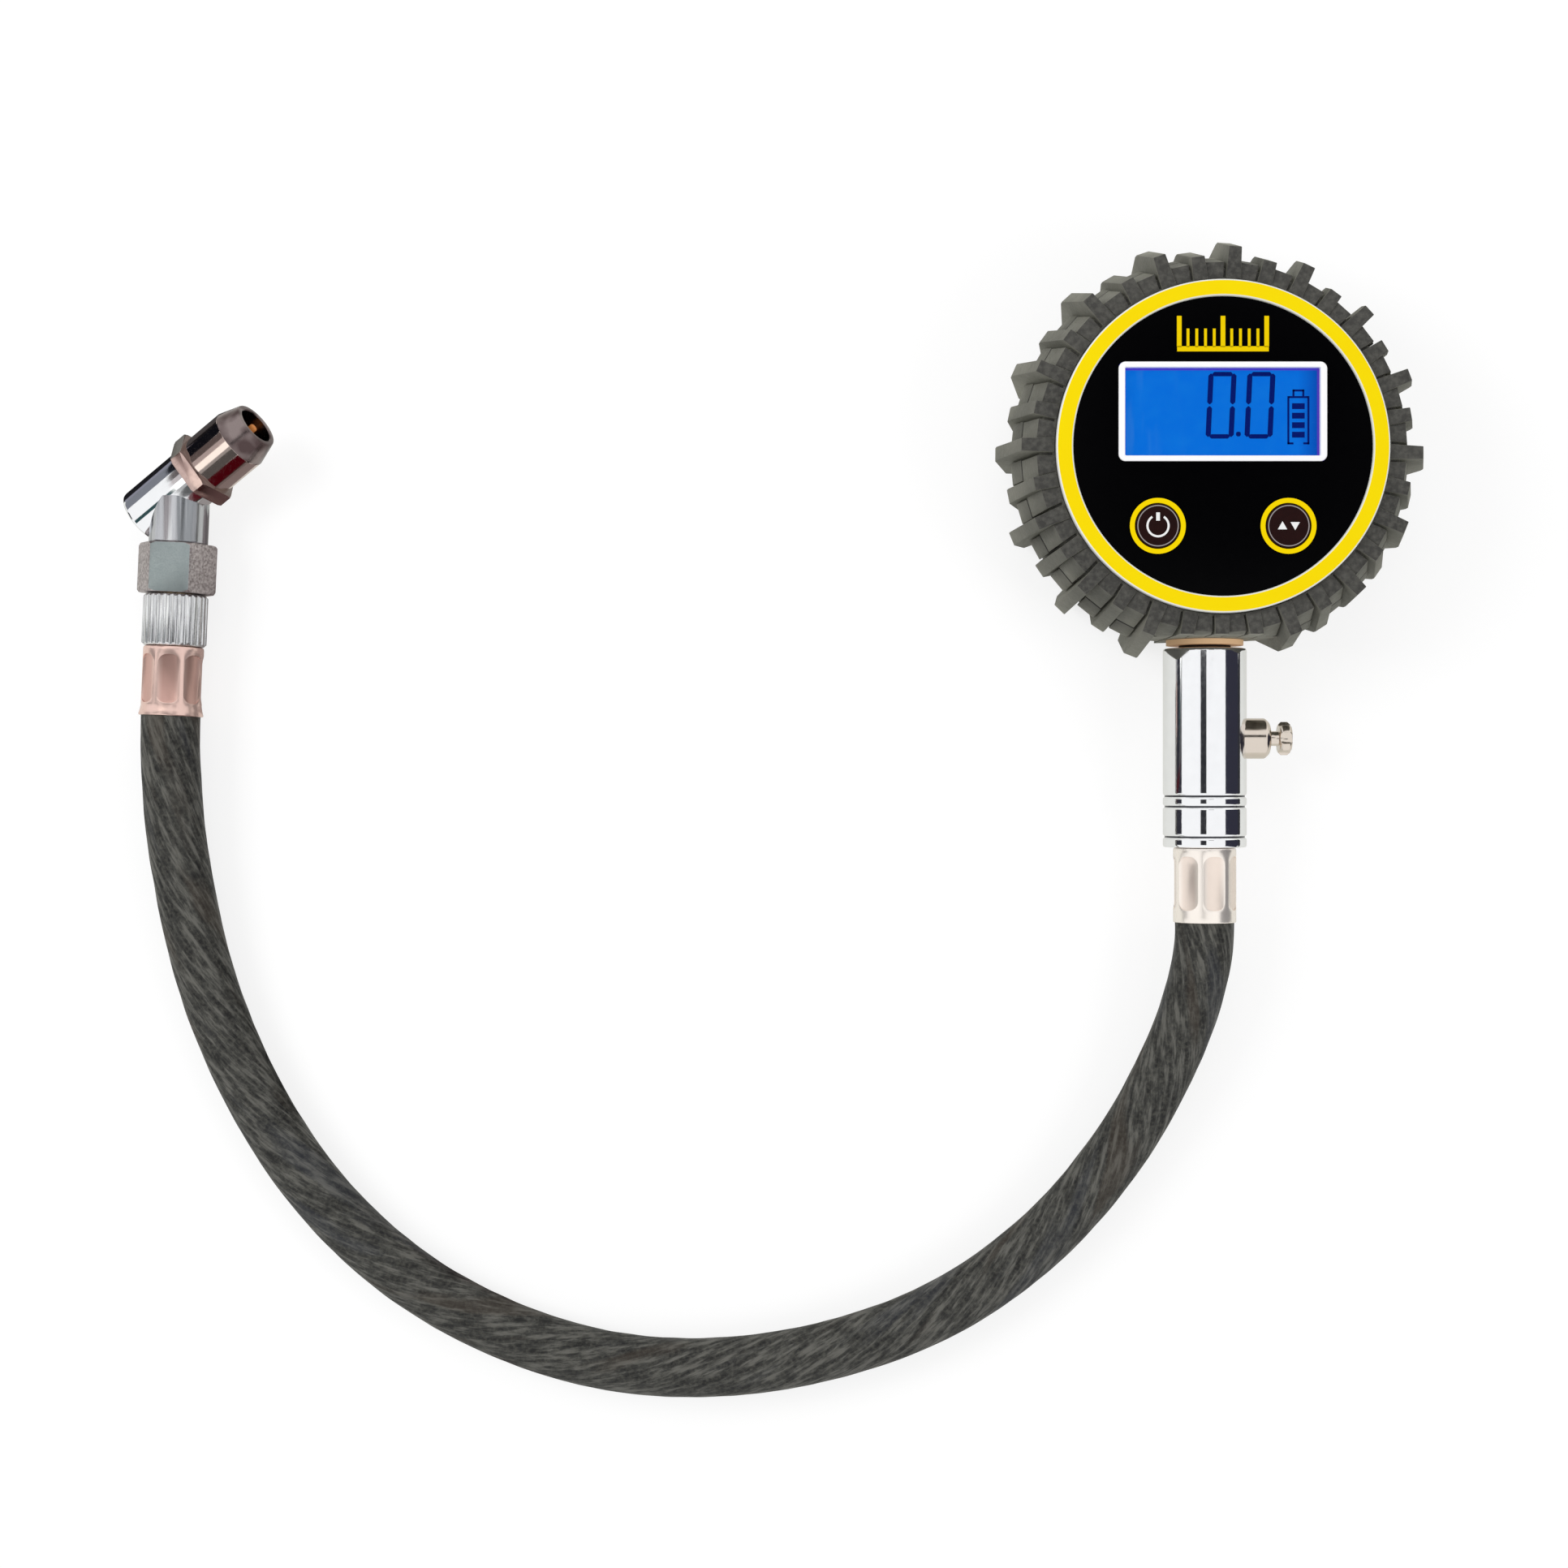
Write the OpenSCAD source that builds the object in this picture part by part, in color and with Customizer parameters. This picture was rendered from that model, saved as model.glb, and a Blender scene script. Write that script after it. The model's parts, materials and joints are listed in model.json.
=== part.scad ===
// Digital tyre pressure gauge. A round gauge head in a tyre-shaped rubber boot stands on a
// chrome stem with a bleed valve, and a short hose leads to an angled swivel chuck.
// It lies on its back. Sizes are millimetres. The origin is the centre of the back face,
// +Z points out of the dial and +Y to the top of the dial. The stem leaves the head along -Y.

/* [Case] */
// Outer diameter of the bezel ring
bezel_d = 71; // [69:0.5:76]
// Diameter of the dial inside the bezel ring
dial_d = 63.8; // [62:0.2:65]
// Height of the bezel ring's front over the back face
head_h = 39; // [38.5:0.5:44]
// Height of the bezel ring over the dial
bezel_step = 0.9; // [0.3:0.1:1.5]
// Depth of the bezel ring's skirt below the dial plate's front
skirt_depth = 3.6; // [2:0.2:6]
// Thickness of the bezel ring's skirt
skirt_t = 0.8; // [0.6:0.1:1.2]
// Thickness of the case's round wall
case_wall = 2; // [1.6:0.1:2.4]
// Thickness of the case's back
back_t = 2.4; // [2.2:0.1:3]
// Height of the joint between the case halves over the back face
split_h = 20; // [19.6:0.2:22]
// Thickness of the gasket between the case halves
gasket_t = 0.6; // [0.4:0.1:1]
// Thickness of the plate that carries the dial
plate_t = 2; // [1.9:0.1:2.4]
// Thickness of the dial panel
dial_t = 1.5; // [1:0.1:1.8]

/* [Boot] */
// Thickness of rubber around the bezel ring
boot_wall = 5.4; // [4.5:0.1:6.5]
// Diameter of the opening in the boot's back
back_opening_d = 57; // [56.4:0.2:60]
// Thickness of the boot's back lip
lip_t = 2.7; // [2:0.1:3.2]
// Distance of the boot's front edge below the bezel ring's front
boot_drop = 1.5; // [1:0.1:2.5]
// Number of high tread lugs, with as many medium ones between them
lug_count = 16; // [12:1:20]
// Height of the high lugs over the carcass
high_lug_h = 6; // [5:0.1:7]
// Height of the medium lugs over the carcass
medium_lug_h = 4; // [3:0.1:4.8]
// Height of the tread blocks between the lugs
block_h = 2.5; // [1.5:0.1:2.8]
// Width of the lugs on the front sidewall
lug_w = 3.4; // [3:0.1:4.4]
// Width of the groove beside each lug on the sidewall
groove_w = 0.7; // [0.5:0.1:1]
// Depth of that groove
groove_depth = 1.2; // [0.6:0.1:1.6]
// Depth of the flat that is cut in the tread at the stem
port_flat = 1; // [0.5:0.1:1.6]
// Width of that flat
port_flat_w = 23; // [20:0.5:26]

/* [Display] */
// Width of the white display frame
frame_w = 44.4; // [42:0.2:46]
// Height of the white display frame
frame_d = 21.2; // [19:0.2:22]
// Width of the frame's two sides
frame_side = 1.4; // [1:0.1:1.8]
// Width of the frame's top and bottom
frame_rail = 1.2; // [1:0.1:1.8]
// Distance of the display's centre above the dial's centre
display_y = 7.4; // [6:0.1:8]
// Thickness of the display glass
lcd_t = 2.2; // [1.8:0.1:2.6]
// Thickness of the backlight
backlight_t = 3; // [2:0.1:4]

/* [Buttons] */
// Distance of each button from the dial's upright centre line
button_x = 13.9; // [12:0.1:15]
// Distance of the buttons below the dial's centre
button_y = 17; // [16:0.1:18]
// Outer diameter of the ring around a button
button_ring_d = 12; // [11:0.1:12.4]
// Diameter of a button
button_d = 9.5; // [8.6:0.1:9.6]
// Height of a button over its ring
button_proud = 0.3; // [0.1:0.1:0.6]
// Travel of a button
button_travel = 0.8; // [0.5:0.1:0.9]

/* [Electronics] */
// Thickness of the circuit board
board_t = 1.6; // [1:0.1:2]
// Diameter of a battery cell
cell_d = 10.5; // [10:0.1:10.5]
// Length of a battery cell
cell_len = 44.5; // [43:0.1:44.5]
// Thickness of the battery door
door_t = 1.6; // [1.2:0.1:1.7]
// Shank diameter of the case screws
case_screw_d = 2.4; // [2:0.1:2.6]
// Length of the case screws
case_screw_len = 12; // [9:0.5:13]

/* [Stem] */
// Height of the stem's axis over the back face
stem_z = 14; // [13.5:0.1:14.2]
// Diameter of the stem
stem_d = 18.4; // [17:0.1:20]
// Length of the stem
stem_len = 44; // [40:0.5:50]
// Diameter of the stem's airway
airway_d = 6; // [4:0.1:6.4]
// Diameter of the port fitting's round flange
port_flange_d = 17; // [15:0.1:18.4]
// Thickness of the port fitting's flange
port_flange_t = 1.2; // [0.8:0.1:2]
// Diameter of the seal between the port and the stem
port_seal_d = 11.4; // [10.6:0.1:13]
// Thickness of the seal between the port and the stem
port_seal_t = 0.7; // [0.5:0.1:1.2]

/* [Bleed valve] */
// Distance of the bleed valve from the stem's upper end
bleed_drop = 19.9; // [16:0.1:24]
// Diameter of the bleed valve's boss
bleed_boss_d = 9; // [8.4:0.1:10]
// Distance of the boss's end from the stem's axis
bleed_reach = 14.2; // [13.8:0.1:16]
// Diameter of the bleed valve's pin
bleed_pin_d = 3.3; // [2.8:0.1:3.5]
// Diameter of the bleed knob
bleed_knob_d = 7.4; // [6.6:0.1:9]
// Thickness of the bleed knob
bleed_knob_t = 2.7; // [2:0.1:4]
// Number of lobes on the bleed knob
bleed_lobes = 5; // [4:1:6]
// Travel of the bleed knob
bleed_travel = 1.6; // [1:0.1:1.8]

/* [Hose] */
// Outer diameter of the hose
hose_d = 13; // [12:0.1:13.4]
// Diameter of the hose's bore
hose_bore_d = 6.8; // [6:0.1:7.4]
// Outer diameter of the ferrule on the stem
gauge_ferrule_d = 13.9; // [13.4:0.1:15]
// Length of the ferrule on the stem
gauge_ferrule_len = 16.6; // [14:0.1:20]
// Outer diameter of the ferrule at the chuck
chuck_ferrule_d = 13.3; // [13:0.1:15]
// Outer diameter of that ferrule's flared mouth
chuck_flare_d = 14.2; // [13.5:0.1:16]
// Length of the ferrule at the chuck
chuck_ferrule_len = 15.5; // [14:0.1:20]
// Wall thickness of both ferrules
ferrule_wall = 1; // [0.8:0.1:1.2]
// Number of crimped flats around each ferrule
crimp_count = 7; // [6:1:10]
// Depth of the crimped flats
crimp_depth = 0.35; // [0.2:0.05:0.5]

/* [Swivel] */
// Diameter of the knurled collar
collar_d = 14.2; // [13.5:0.1:16]
// Length of the knurled collar
collar_len = 11.5; // [8:0.1:14]
// Number of ridges on the collar
knurl_count = 28; // [20:1:36]
// Width across the flats of the swivel nut
nut_af = 15.3; // [15:0.1:17]
// Length of the swivel nut
nut_len = 11; // [10.6:0.1:15]
// Diameter of the journal that the swivel turns on
journal_d = 8; // [7.4:0.1:8.6]
// Angle between the neck and the chuck's head
chuck_bend = 54; // [45:1:60]
// Angle that the head is swivelled up to from the table
chuck_swivel = 22; // [18:1:30]
// Angle that the neck leans to the right
neck_lean = 2.5; // [0:0.1:5]

/* [Chuck] */
// Diameter of the neck
neck_d = 13; // [12:0.1:13.2]
// Length of the neck, from the nut to the head's axis
neck_len = 12.6; // [12:0.1:15]
// Diameter of the head's rear body
body_d = 13.5; // [13.2:0.1:14]
// Length of the rear body behind the neck's axis
body_rear = 11.4; // [10:0.1:12]
// Length of the rear body in front of the neck's axis
body_front = 5.2; // [4:0.1:6]
// Width across the flats of the nose's hexagon
nose_af = 15.2; // [14.4:0.1:17]
// Thickness of the nose's hexagon
nose_hex_t = 3.4; // [2.5:0.1:5]
// Diameter of the nose
nose_d = 14.5; // [13.6:0.1:14.8]
// Length of the nose in front of the body, hexagon and cone included
nose_len = 18.5; // [18:0.1:23]
// Length of the nose's cone
cone_len = 5; // [3:0.1:6]
// Diameter of the rim around the mouth
rim_d = 10.8; // [10.2:0.1:12]
// Diameter of the mouth
mouth_d = 8.4; // [8.2:0.1:8.8]
// Depth of the mouth's round wall
mouth_depth = 6; // [5:0.1:6.4]
// Travel of the depressor pin
depressor_travel = 1.5; // [1:0.1:1.8]

/* [Hidden] */
$fn = 96;
CUT = 1;             // how far a cutter runs past the face that it opens
FACE_GAP = 0.1;      // between surfaces that rest on each other
SLIDE_GAP = 0.15;    // around a button or a panel in its opening
TURN_GAP = 0.05;     // around a shaft that turns or slides in a bore

// Case
bezel_r = bezel_d / 2;
case_r = bezel_r - skirt_t - FACE_GAP;
case_inner_r = case_r - case_wall;
dial_front = head_h - bezel_step;
dial_back = dial_front - dial_t;
plate_back = dial_back - plate_t;
skirt_back = dial_back - skirt_depth;
shell_back = lip_t + FACE_GAP;
shell_floor_t = 2;
hub_r = back_opening_d / 2 - FACE_GAP;
boss_r = 3.2;
boss_circle_r = case_inner_r - boss_r - 0.2;
boss_angles = [65, 115, 245, 295];
screw_head_r = case_screw_d / 2 + 1.2;
screw_head_t = 1.6;
screw_head_z = 14;
board_top = split_h + board_t;
board_r = case_inner_r - 0.8;

// Boot
boot_front = head_h - boot_drop;
seat_r = bezel_r + FACE_GAP;
carcass_r = bezel_r + boot_wall;
block_r = carcass_r + block_h;
medium_lug_r = carcass_r + medium_lug_h;
high_lug_r = carcass_r + high_lug_h;
shoulder_w = 1.5;
shoulder_drop = 2.7;     // fall of the carcass from its middle to its front
crown_drop = 4.1;        // and of the tread
pitch = 180 / lug_count;
flat_s = carcass_r - port_flat;

// Display
window_w = frame_w - 2 * frame_side;
window_d = frame_d - 2 * frame_rail;
frame_corner_r = 1.5;
glass_w = frame_w + 0.6;
glass_d = frame_d + 1.2;
lcd_front = dial_back - 0.3;
lcd_back = lcd_front - lcd_t;
backlight_back = lcd_back - backlight_t;
holder_wall = 1;
holder_w = glass_w + 0.4 + 2 * holder_wall;
holder_d = glass_d + 0.4 + 2 * holder_wall;
holder_front = plate_back - 0.2;
rail_t = 1.2;
backlight_margin = 3;
backlight_d = glass_d - 2 * backlight_margin;
strip_t = 2;
strip_w = glass_w - 5;
strip_y = backlight_d / 2 + 0.2 + strip_t / 2;

// Buttons
ring_r = button_ring_d / 2;
button_r = button_d / 2;
ring_bore_r = button_r + SLIDE_GAP;
ring_front = dial_front + 0.3;
button_front = ring_front + button_proud;
flange_r = ring_r - 0.4;
flange_t = plate_t - button_travel - 2 * FACE_GAP;
flange_front = dial_back - 2 * FACE_GAP;
dome_h = 4.6;
dome_top = board_top + dome_h;
dome_r = 4;
button_stem_r = 1.6;

// Batteries
cell_gap = 0.3;
cell_y = (cell_d + cell_gap) / 2;
cell_z = back_t + FACE_GAP + cell_d / 2;
nub_len = 0.8;
contact_t = 0.5;
contact_w = 8;
tab_w = 2;
tab_slot_w = tab_w + 0.4;
contact_room = 5.4;
bay_len = cell_len + contact_room + contact_t;
bay_w = 2 * cell_d + cell_gap + 1.1;
bay_roof = cell_z + cell_d / 2 + 0.35;
bay_wall = 1.5;
door_len = cell_len + 3.1;
door_w = bay_w + 2.2;
door_corner_r = 3;
door_screw_y = -door_w / 2 - 2.4;
door_ear_r = 3;
door_post_h = 8;
door_screw_r = 0.8;
door_screw_head_r = 2;
door_screw_neck_r = 1;
door_screw_head_t = 1;
door_screw_len = 6.4;

// Port and stem
port_shank_r = 4;
port_bore_r = 1.5;
port_shoulder_r = 5.6;
washer_t = 0.6;
port_seat_s = case_r - 1.2;
port_pad_s = case_inner_r - 1.2;
port_pad_w = 14;
port_nut_af = 11;
port_nut_t = 3;
sensor_r = 5.4;
sensor_len = 8;
sensor_front_s = port_pad_s - port_nut_t - 2.4;
port_flange_s = flat_s + FACE_GAP;
port_seal_s = port_flange_s + port_flange_t;
stem_s = port_seal_s + port_seal_t;
stem_end_s = stem_s + stem_len;
stem_r = stem_d / 2;
thread_r = 4.9;
socket_r = thread_r + TURN_GAP;
port_thread_len = 8;
barb_thread_len = 9.1;
groove_places = [2.3, 9, 11.3];

// Bleed valve
bleed_s = stem_s + bleed_drop;
bleed_seat_x = stem_r - 1.1;
bleed_boss_r = bleed_boss_d / 2;
bleed_shank_r = 3;
bleed_shank_x = airway_d / 2 - 0.3;
bleed_pin_r = bleed_pin_d / 2;
bleed_chamber_r = bleed_boss_r - 1.2;
bleed_chamber_x = bleed_seat_x + 1.4;
bleed_lip_t = 1;
bleed_collar_t = 0.8;
bleed_collar_x = bleed_reach - bleed_lip_t - bleed_collar_t - FACE_GAP;
bleed_knob_x = bleed_reach + bleed_travel + 0.5;
bleed_seal_t = 0.8;
bleed_seal_x = bleed_shank_x - bleed_seal_t - FACE_GAP;

// Hose and ferrules
gauge_ferrule_s = stem_end_s + FACE_GAP;
gauge_mouth_s = gauge_ferrule_s + gauge_ferrule_len;
barb_flange_t = 1.1;
tail_r = hose_bore_d / 2 * cos(180 / 12) - 0.15;
gauge_crimp_r = gauge_ferrule_d / 2 - ferrule_wall - FACE_GAP;
chuck_crimp_r = chuck_ferrule_d / 2 - ferrule_wall - FACE_GAP;
gauge_crimp_turn = 29;   // how the crimps happen to lie around each ferrule
chuck_crimp_turn = 33;

// Chuck, measured from the crossing of the neck's and the head's axes
chuck_centre = [-228.3, -5.8, 10];
neck_dir = [sin(neck_lean), cos(neck_lean), 0];
nut_front = -neck_len;
nut_rear = nut_front - nut_len;
collar_front = nut_rear - 0.25;
collar_rear = collar_front - collar_len;
chuck_ferrule_front = collar_rear - FACE_GAP;
chuck_mouth = chuck_ferrule_front - chuck_ferrule_len;
journal_r = journal_d / 2;
chamber_r = 5.6;
chamber_len = 4.6;
chamber_rear = nut_front - chamber_len;
spigot_len = 1.8;
nose_turn = 13;         // the hexagon's turn, as the nose happens to be tightened
neck_inset = 2.3;
journal_front = nut_front - spigot_len - 0.3;
clip_t = 0.7;
clip_rear = chamber_rear + 0.3;
oring_wire = 0.8;
nose_rear = body_front;
nose_front = nose_rear + nose_len;
shank_r = 5.4;
shank_len = 6;
body_socket = nose_rear - shank_len;
pin_room_r = 4.4;
mouth_rear = nose_front - mouth_depth;
seal_t = 2.2;
seal_rear = mouth_rear - seal_t;
pin_stop = seal_rear - 4.2;
pin_collar_t = 2;
pin_tip = mouth_rear - 0.5;
pin_tip_r = 1.3;
pin_tail_r = 1.2;
pin_tail_rear = body_socket - 1;

// The hose's route: from the stem's ferrule, down onto the table, round and up to the chuck
HOSE_ROUTE = [
    [-1.5, -116, 12.8], [-7, -133, 9.8], [-18, -153.5, 7.6], [-34.5, -173.2, 6.6],
    [-55.8, -188.8, 6.5], [-80, -198.4, 6.5], [-106, -202.9, 6.5], [-132.2, -201.7, 6.5],
    [-157.5, -194, 6.5], [-180.2, -180.8, 6.5], [-199, -162.5, 6.5], [-213.2, -140.5, 6.5],
    [-223.2, -116.2, 6.7], [-228.7, -90.5, 8], [-230.3, -73, 9.5]
];

// ---------- places ----------

// Local +Z runs along the stem, away from the head
module on_stem(s) { translate([0, -s, stem_z]) rotate([90, 0, 0]) children(); }

// Local +Z runs out of the stem's side, along the bleed valve
module on_bleed(x) { translate([x, -bleed_s, stem_z]) rotate([0, 90, 0]) children(); }

// Local +Z runs along the neck, from the hose to the chuck
module on_neck(n) {
    translate(chuck_centre) rotate([0, 0, -neck_lean]) rotate([-90, 0, 0])
        translate([0, 0, n]) children();
}

// Local +Z runs along the chuck's head, out of its mouth
module on_head(t) {
    translate(chuck_centre) rotate([0, 0, -neck_lean]) rotate([0, -chuck_swivel, 0])
        rotate([0, 0, -chuck_bend]) rotate([-90, 0, 0]) translate([0, 0, t]) children();
}

module at_buttons(side) { translate([side * button_x, -button_y, 0]) children(); }

module at_bosses() {
    for (a = boss_angles) rotate(a) translate([boss_circle_r, 0, 0]) children();
}

module at_display(z) { translate([0, display_y, z]) children(); }

// ---------- shapes ----------

module tube(r_out, r_in, h) {
    difference() {
        cylinder(r = r_out, h = h);
        translate([0, 0, -CUT]) cylinder(r = r_in, h = h + 2 * CUT);
    }
}

module slab(w, d, h) { translate([-w / 2, -d / 2, 0]) cube([w, d, h]); }

module round_slab(w, d, h, r) {
    slab(w - 2 * r, d, h);
    slab(w, d - 2 * r, h);
    for (x = [-1, 1], y = [-1, 1])
        translate([x * (w / 2 - r), y * (d / 2 - r), 0]) cylinder(r = r, h = h);
}

module hexagon(across_flats, h) { cylinder(r = across_flats / 2 / cos(30), h = h, $fn = 6); }

// A rod with a chamfer at each end
module turned_rod(r, h, chamfer) {
    rotate_extrude() polygon([[0, 0], [r - chamfer, 0], [r, chamfer], [r, h - chamfer],
        [r - chamfer, h], [0, h]]);
}

module round_ring(r, wire) { rotate_extrude() translate([r, 0]) circle(r = wire, $fn = 32); }

// Points of one ring around a path's point, square to the path's direction
function across(dir) = let (side = cross(dir, [0, 0, 1])) side / norm(side);
function ring_points(centre, dir, r, sides) =
    let (d = dir / norm(dir), u = across(d), v = cross(u, d))
    [for (i = [0:sides - 1]) let (a = 360 * (i + 0.5) / sides)
        centre + r * cos(a) * u + r * sin(a) * v];

// Faces between the rings of a swept shape, closed at both ends or joined end to end
function skin(rings, sides, loop) = concat(
    [for (k = [0:rings - (loop ? 1 : 2)], i = [0:sides - 1], half = [0, 1])
        let (a = k * sides, b = (k + 1) % rings * sides, j = (i + 1) % sides)
        half == 0 ? [a + i, b + i, b + j] : [a + i, b + j, a + j]],
    loop ? [] : [[for (i = [0:sides - 1]) i],
        [for (i = [0:sides - 1]) (rings - 1) * sides + sides - 1 - i]]);

// A round wire wound into a spring along local +Z
module coil_spring(r, wire, h, turns) {
    steps = 10;
    sides = 6;
    rise = (h - 2 * wire) / (turns * steps);
    rings = [for (k = [0:turns * steps]) let (a = 360 * k / steps)
        ring_points([r * cos(a), r * sin(a), wire + rise * k],
            [-r * sin(a), r * cos(a), rise * steps / (2 * PI)], wire, sides)];
    polyhedron([for (ring = rings) for (p = ring) p], skin(len(rings), sides, false));
}

// ---------- case ----------

// A lug or a block, seen from the front
module lug(r_in, r_out, foot, tip) {
    shoulder_r = carcass_r - shoulder_drop;
    polygon([[r_in, -foot / 2], [shoulder_r, -foot / 2], [r_out + CUT, -tip / 2],
        [r_out + CUT, tip / 2], [shoulder_r, foot / 2], [r_in, foot / 2]]);
}

// Lugs or blocks between two heights, level at the back and falling towards the front
module tread_row(count, turn, r_in, r_out, foot, tip, low, high, back_slope) {
    intersection() {
        translate([0, 0, low]) linear_extrude(high - low)
            for (i = [0:count - 1]) rotate(turn + 360 / count * i) lug(r_in, r_out, foot, tip);
        rotate_extrude() polygon([[r_in - CUT / 2, 0.6], [carcass_r - shoulder_w, 0.6],
            [r_out, back_slope], [r_out, boot_front / 2], [r_out - crown_drop, boot_front],
            [r_in - CUT / 2, boot_front]]);
    }
}

module boot() {
    row_split = 0.72 * boot_front;      // height of the groove between the two rows of blocks
    row_gap = 0.8;                      // and its width
    lug_gap = 0.35;                     // between a lug and a block
    block_w = PI * carcass_r / lug_count - lug_w - 2 * lug_gap;
    bead_w = 2.4;                       // slant of the back edge
    sidewall_back = 4;                  // height of the back sidewall's curve
    front_lip_w = 1.2;                  // flat rim around the bezel ring
    pad_drop = 0.4;                     // the sidewall lies this far below the lugs
    block_drop = 1.35;                  // and the blocks this far
    tread_edge = 1.3;                   // the lugs begin this high over the back
    block_slope = 3.5;                  // height of the blocks' slant at the back
    lug_slope = 8;                      // and of the lugs'
    lug_in = seat_r + 0.3;
    block_in = seat_r + front_lip_w;
    color([0.29, 0.29, 0.27]) difference() {
        union() {
            rotate_extrude() polygon([
                [back_opening_d / 2, 0], [carcass_r - bead_w, 0], [carcass_r - shoulder_w, 1],
                [carcass_r, sidewall_back], [carcass_r, boot_front / 2],
                [carcass_r - shoulder_drop, boot_front - shoulder_w],
                [seat_r + front_lip_w, boot_front - pad_drop], [seat_r, boot_front - pad_drop],
                [seat_r, skirt_back - FACE_GAP], [case_r + FACE_GAP, skirt_back - FACE_GAP],
                [case_r + FACE_GAP, lip_t], [back_opening_d / 2, lip_t]]);
            tread_row(lug_count, 0, lug_in, high_lug_r, lug_w, lug_w * 0.7,
                tread_edge, boot_front + CUT, lug_slope);
            tread_row(lug_count, pitch, lug_in, medium_lug_r, lug_w, lug_w * 0.75,
                tread_edge, boot_front + CUT, 0.7 * lug_slope);
            tread_row(2 * lug_count, pitch / 2, block_in, block_r, block_w, block_w * 1.05,
                row_split + row_gap / 2, boot_front - block_drop, block_slope);
            tread_row(2 * lug_count, pitch / 2, block_in, block_r, block_w, block_w * 1.05,
                2, row_split - row_gap / 2, block_slope);
        }
        // grooves beside the lugs
        for (i = [0:2 * lug_count - 1]) rotate(pitch * i)
            translate([seat_r + 0.8, lug_w / 2 - 0.1, boot_front - groove_depth])
                cube([boot_wall + block_h, groove_w, groove_depth + CUT]);
        // flat and hole for the port
        translate([-port_flat_w / 2, -high_lug_r - CUT, -CUT])
            cube([port_flat_w, high_lug_r + CUT - flat_s, head_h + 2 * CUT]);
        on_stem(case_r - CUT) cylinder(r = port_shoulder_r + FACE_GAP, h = boot_wall + 3 * CUT);
    }
}

module case_back() {
    rim = split_h - gasket_t / 2;
    color([0.16, 0.16, 0.17]) difference() {
        union() {
            difference() {
                union() {
                    cylinder(r = hub_r, h = lip_t + shell_floor_t);
                    translate([0, 0, shell_back]) cylinder(r = case_r, h = rim - shell_back);
                }
                translate([0, 0, shell_back + shell_floor_t])
                    cylinder(r = case_inner_r, h = rim);
                translate([0, 0, back_t]) cylinder(r = hub_r - case_wall, h = rim);
            }
            intersection() {
                slab(bay_len + 2 * bay_wall, bay_w + 2 * bay_wall, bay_roof + bay_wall);
                union() {
                    cylinder(r = hub_r, h = shell_back);
                    translate([0, 0, shell_back]) cylinder(r = case_inner_r, h = split_h);
                }
            }
            at_bosses() translate([0, 0, shell_back]) cylinder(r = boss_r, h = split_h - shell_back);
            translate([0, door_screw_y, 0]) cylinder(r = door_ear_r + 0.4, h = door_post_h);
            intersection() {
                translate([-port_pad_w / 2, -case_r, shell_back])
                    cube([port_pad_w, case_r - port_pad_s, rim - shell_back]);
                cylinder(r = case_r - 0.5, h = rim);
            }
        }
        // battery bay and door
        translate([0, 0, back_t]) slab(bay_len, bay_w, bay_roof - back_t);
        translate([0, 0, -CUT]) slab(cell_len + 1.1, bay_w, back_t + 2 * CUT);
        translate([0, 0, -CUT])
            round_slab(door_len + 2 * FACE_GAP, door_w + 2 * FACE_GAP, CUT + door_t + 0.05,
                door_corner_r);
        translate([0, door_screw_y, -CUT])
            cylinder(r = door_ear_r + FACE_GAP, h = CUT + door_t + 0.05);
        translate([0, door_screw_y, 0]) cylinder(r = door_screw_r + TURN_GAP, h = door_screw_len + 0.5);
        // slots for the contacts' tabs
        for (y = [-1, 1])
            translate([bay_len / 2 - contact_t - 0.2, y * cell_y - tab_slot_w / 2, bay_roof - CUT])
                cube([contact_t + 0.2, tab_slot_w, bay_wall + 2 * CUT]);
        // case screws
        at_bosses() {
            translate([0, 0, shell_back - CUT])
                cylinder(r = screw_head_r + 0.2, h = screw_head_z - shell_back + CUT);
            cylinder(r = case_screw_d / 2 + 0.2, h = split_h + CUT);
        }
        // port
        on_stem(port_seat_s) cylinder(r = port_shoulder_r + 0.2, h = 4);
        on_stem(port_pad_s - CUT) cylinder(r = port_shank_r + FACE_GAP, h = 4);
    }
}

module case_front() {
    rim = split_h + gasket_t / 2;
    color([0.16, 0.16, 0.17]) difference() {
        union() {
            translate([0, 0, rim]) tube(case_r, case_inner_r, dial_back - rim);
            translate([0, 0, plate_back]) cylinder(r = case_r - 0.5, h = plate_t);
            at_bosses() translate([0, 0, board_top]) cylinder(r = boss_r, h = plate_back + 0.5 - board_top);
        }
        at_display(plate_back - CUT) slab(glass_w + 0.6, glass_d + 0.6, plate_t + 2 * CUT);
        for (side = [-1, 1]) at_buttons(side) translate([0, 0, plate_back - CUT])
            cylinder(r = flange_r + SLIDE_GAP, h = plate_t + 2 * CUT);
        at_bosses() translate([0, 0, board_top - CUT])
            cylinder(r = case_screw_d / 2 + TURN_GAP, h = case_screw_len - (split_h - screw_head_z) + 1);
    }
}

module case_gasket() {
    color([0.1, 0.1, 0.1]) translate([0, 0, split_h - gasket_t / 2])
        tube(case_r - 0.4, case_inner_r + 0.2, gasket_t);
}

module bezel_ring() {
    edge = 0.35;
    color([1, 0.86, 0]) rotate_extrude() polygon([
        [dial_d / 2, dial_back], [dial_d / 2, head_h - edge], [dial_d / 2 + edge, head_h],
        [bezel_r - edge, head_h], [bezel_r, head_h - edge], [bezel_r, skirt_back],
        [case_r + FACE_GAP, skirt_back], [case_r + FACE_GAP, dial_back]]);
}

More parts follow.
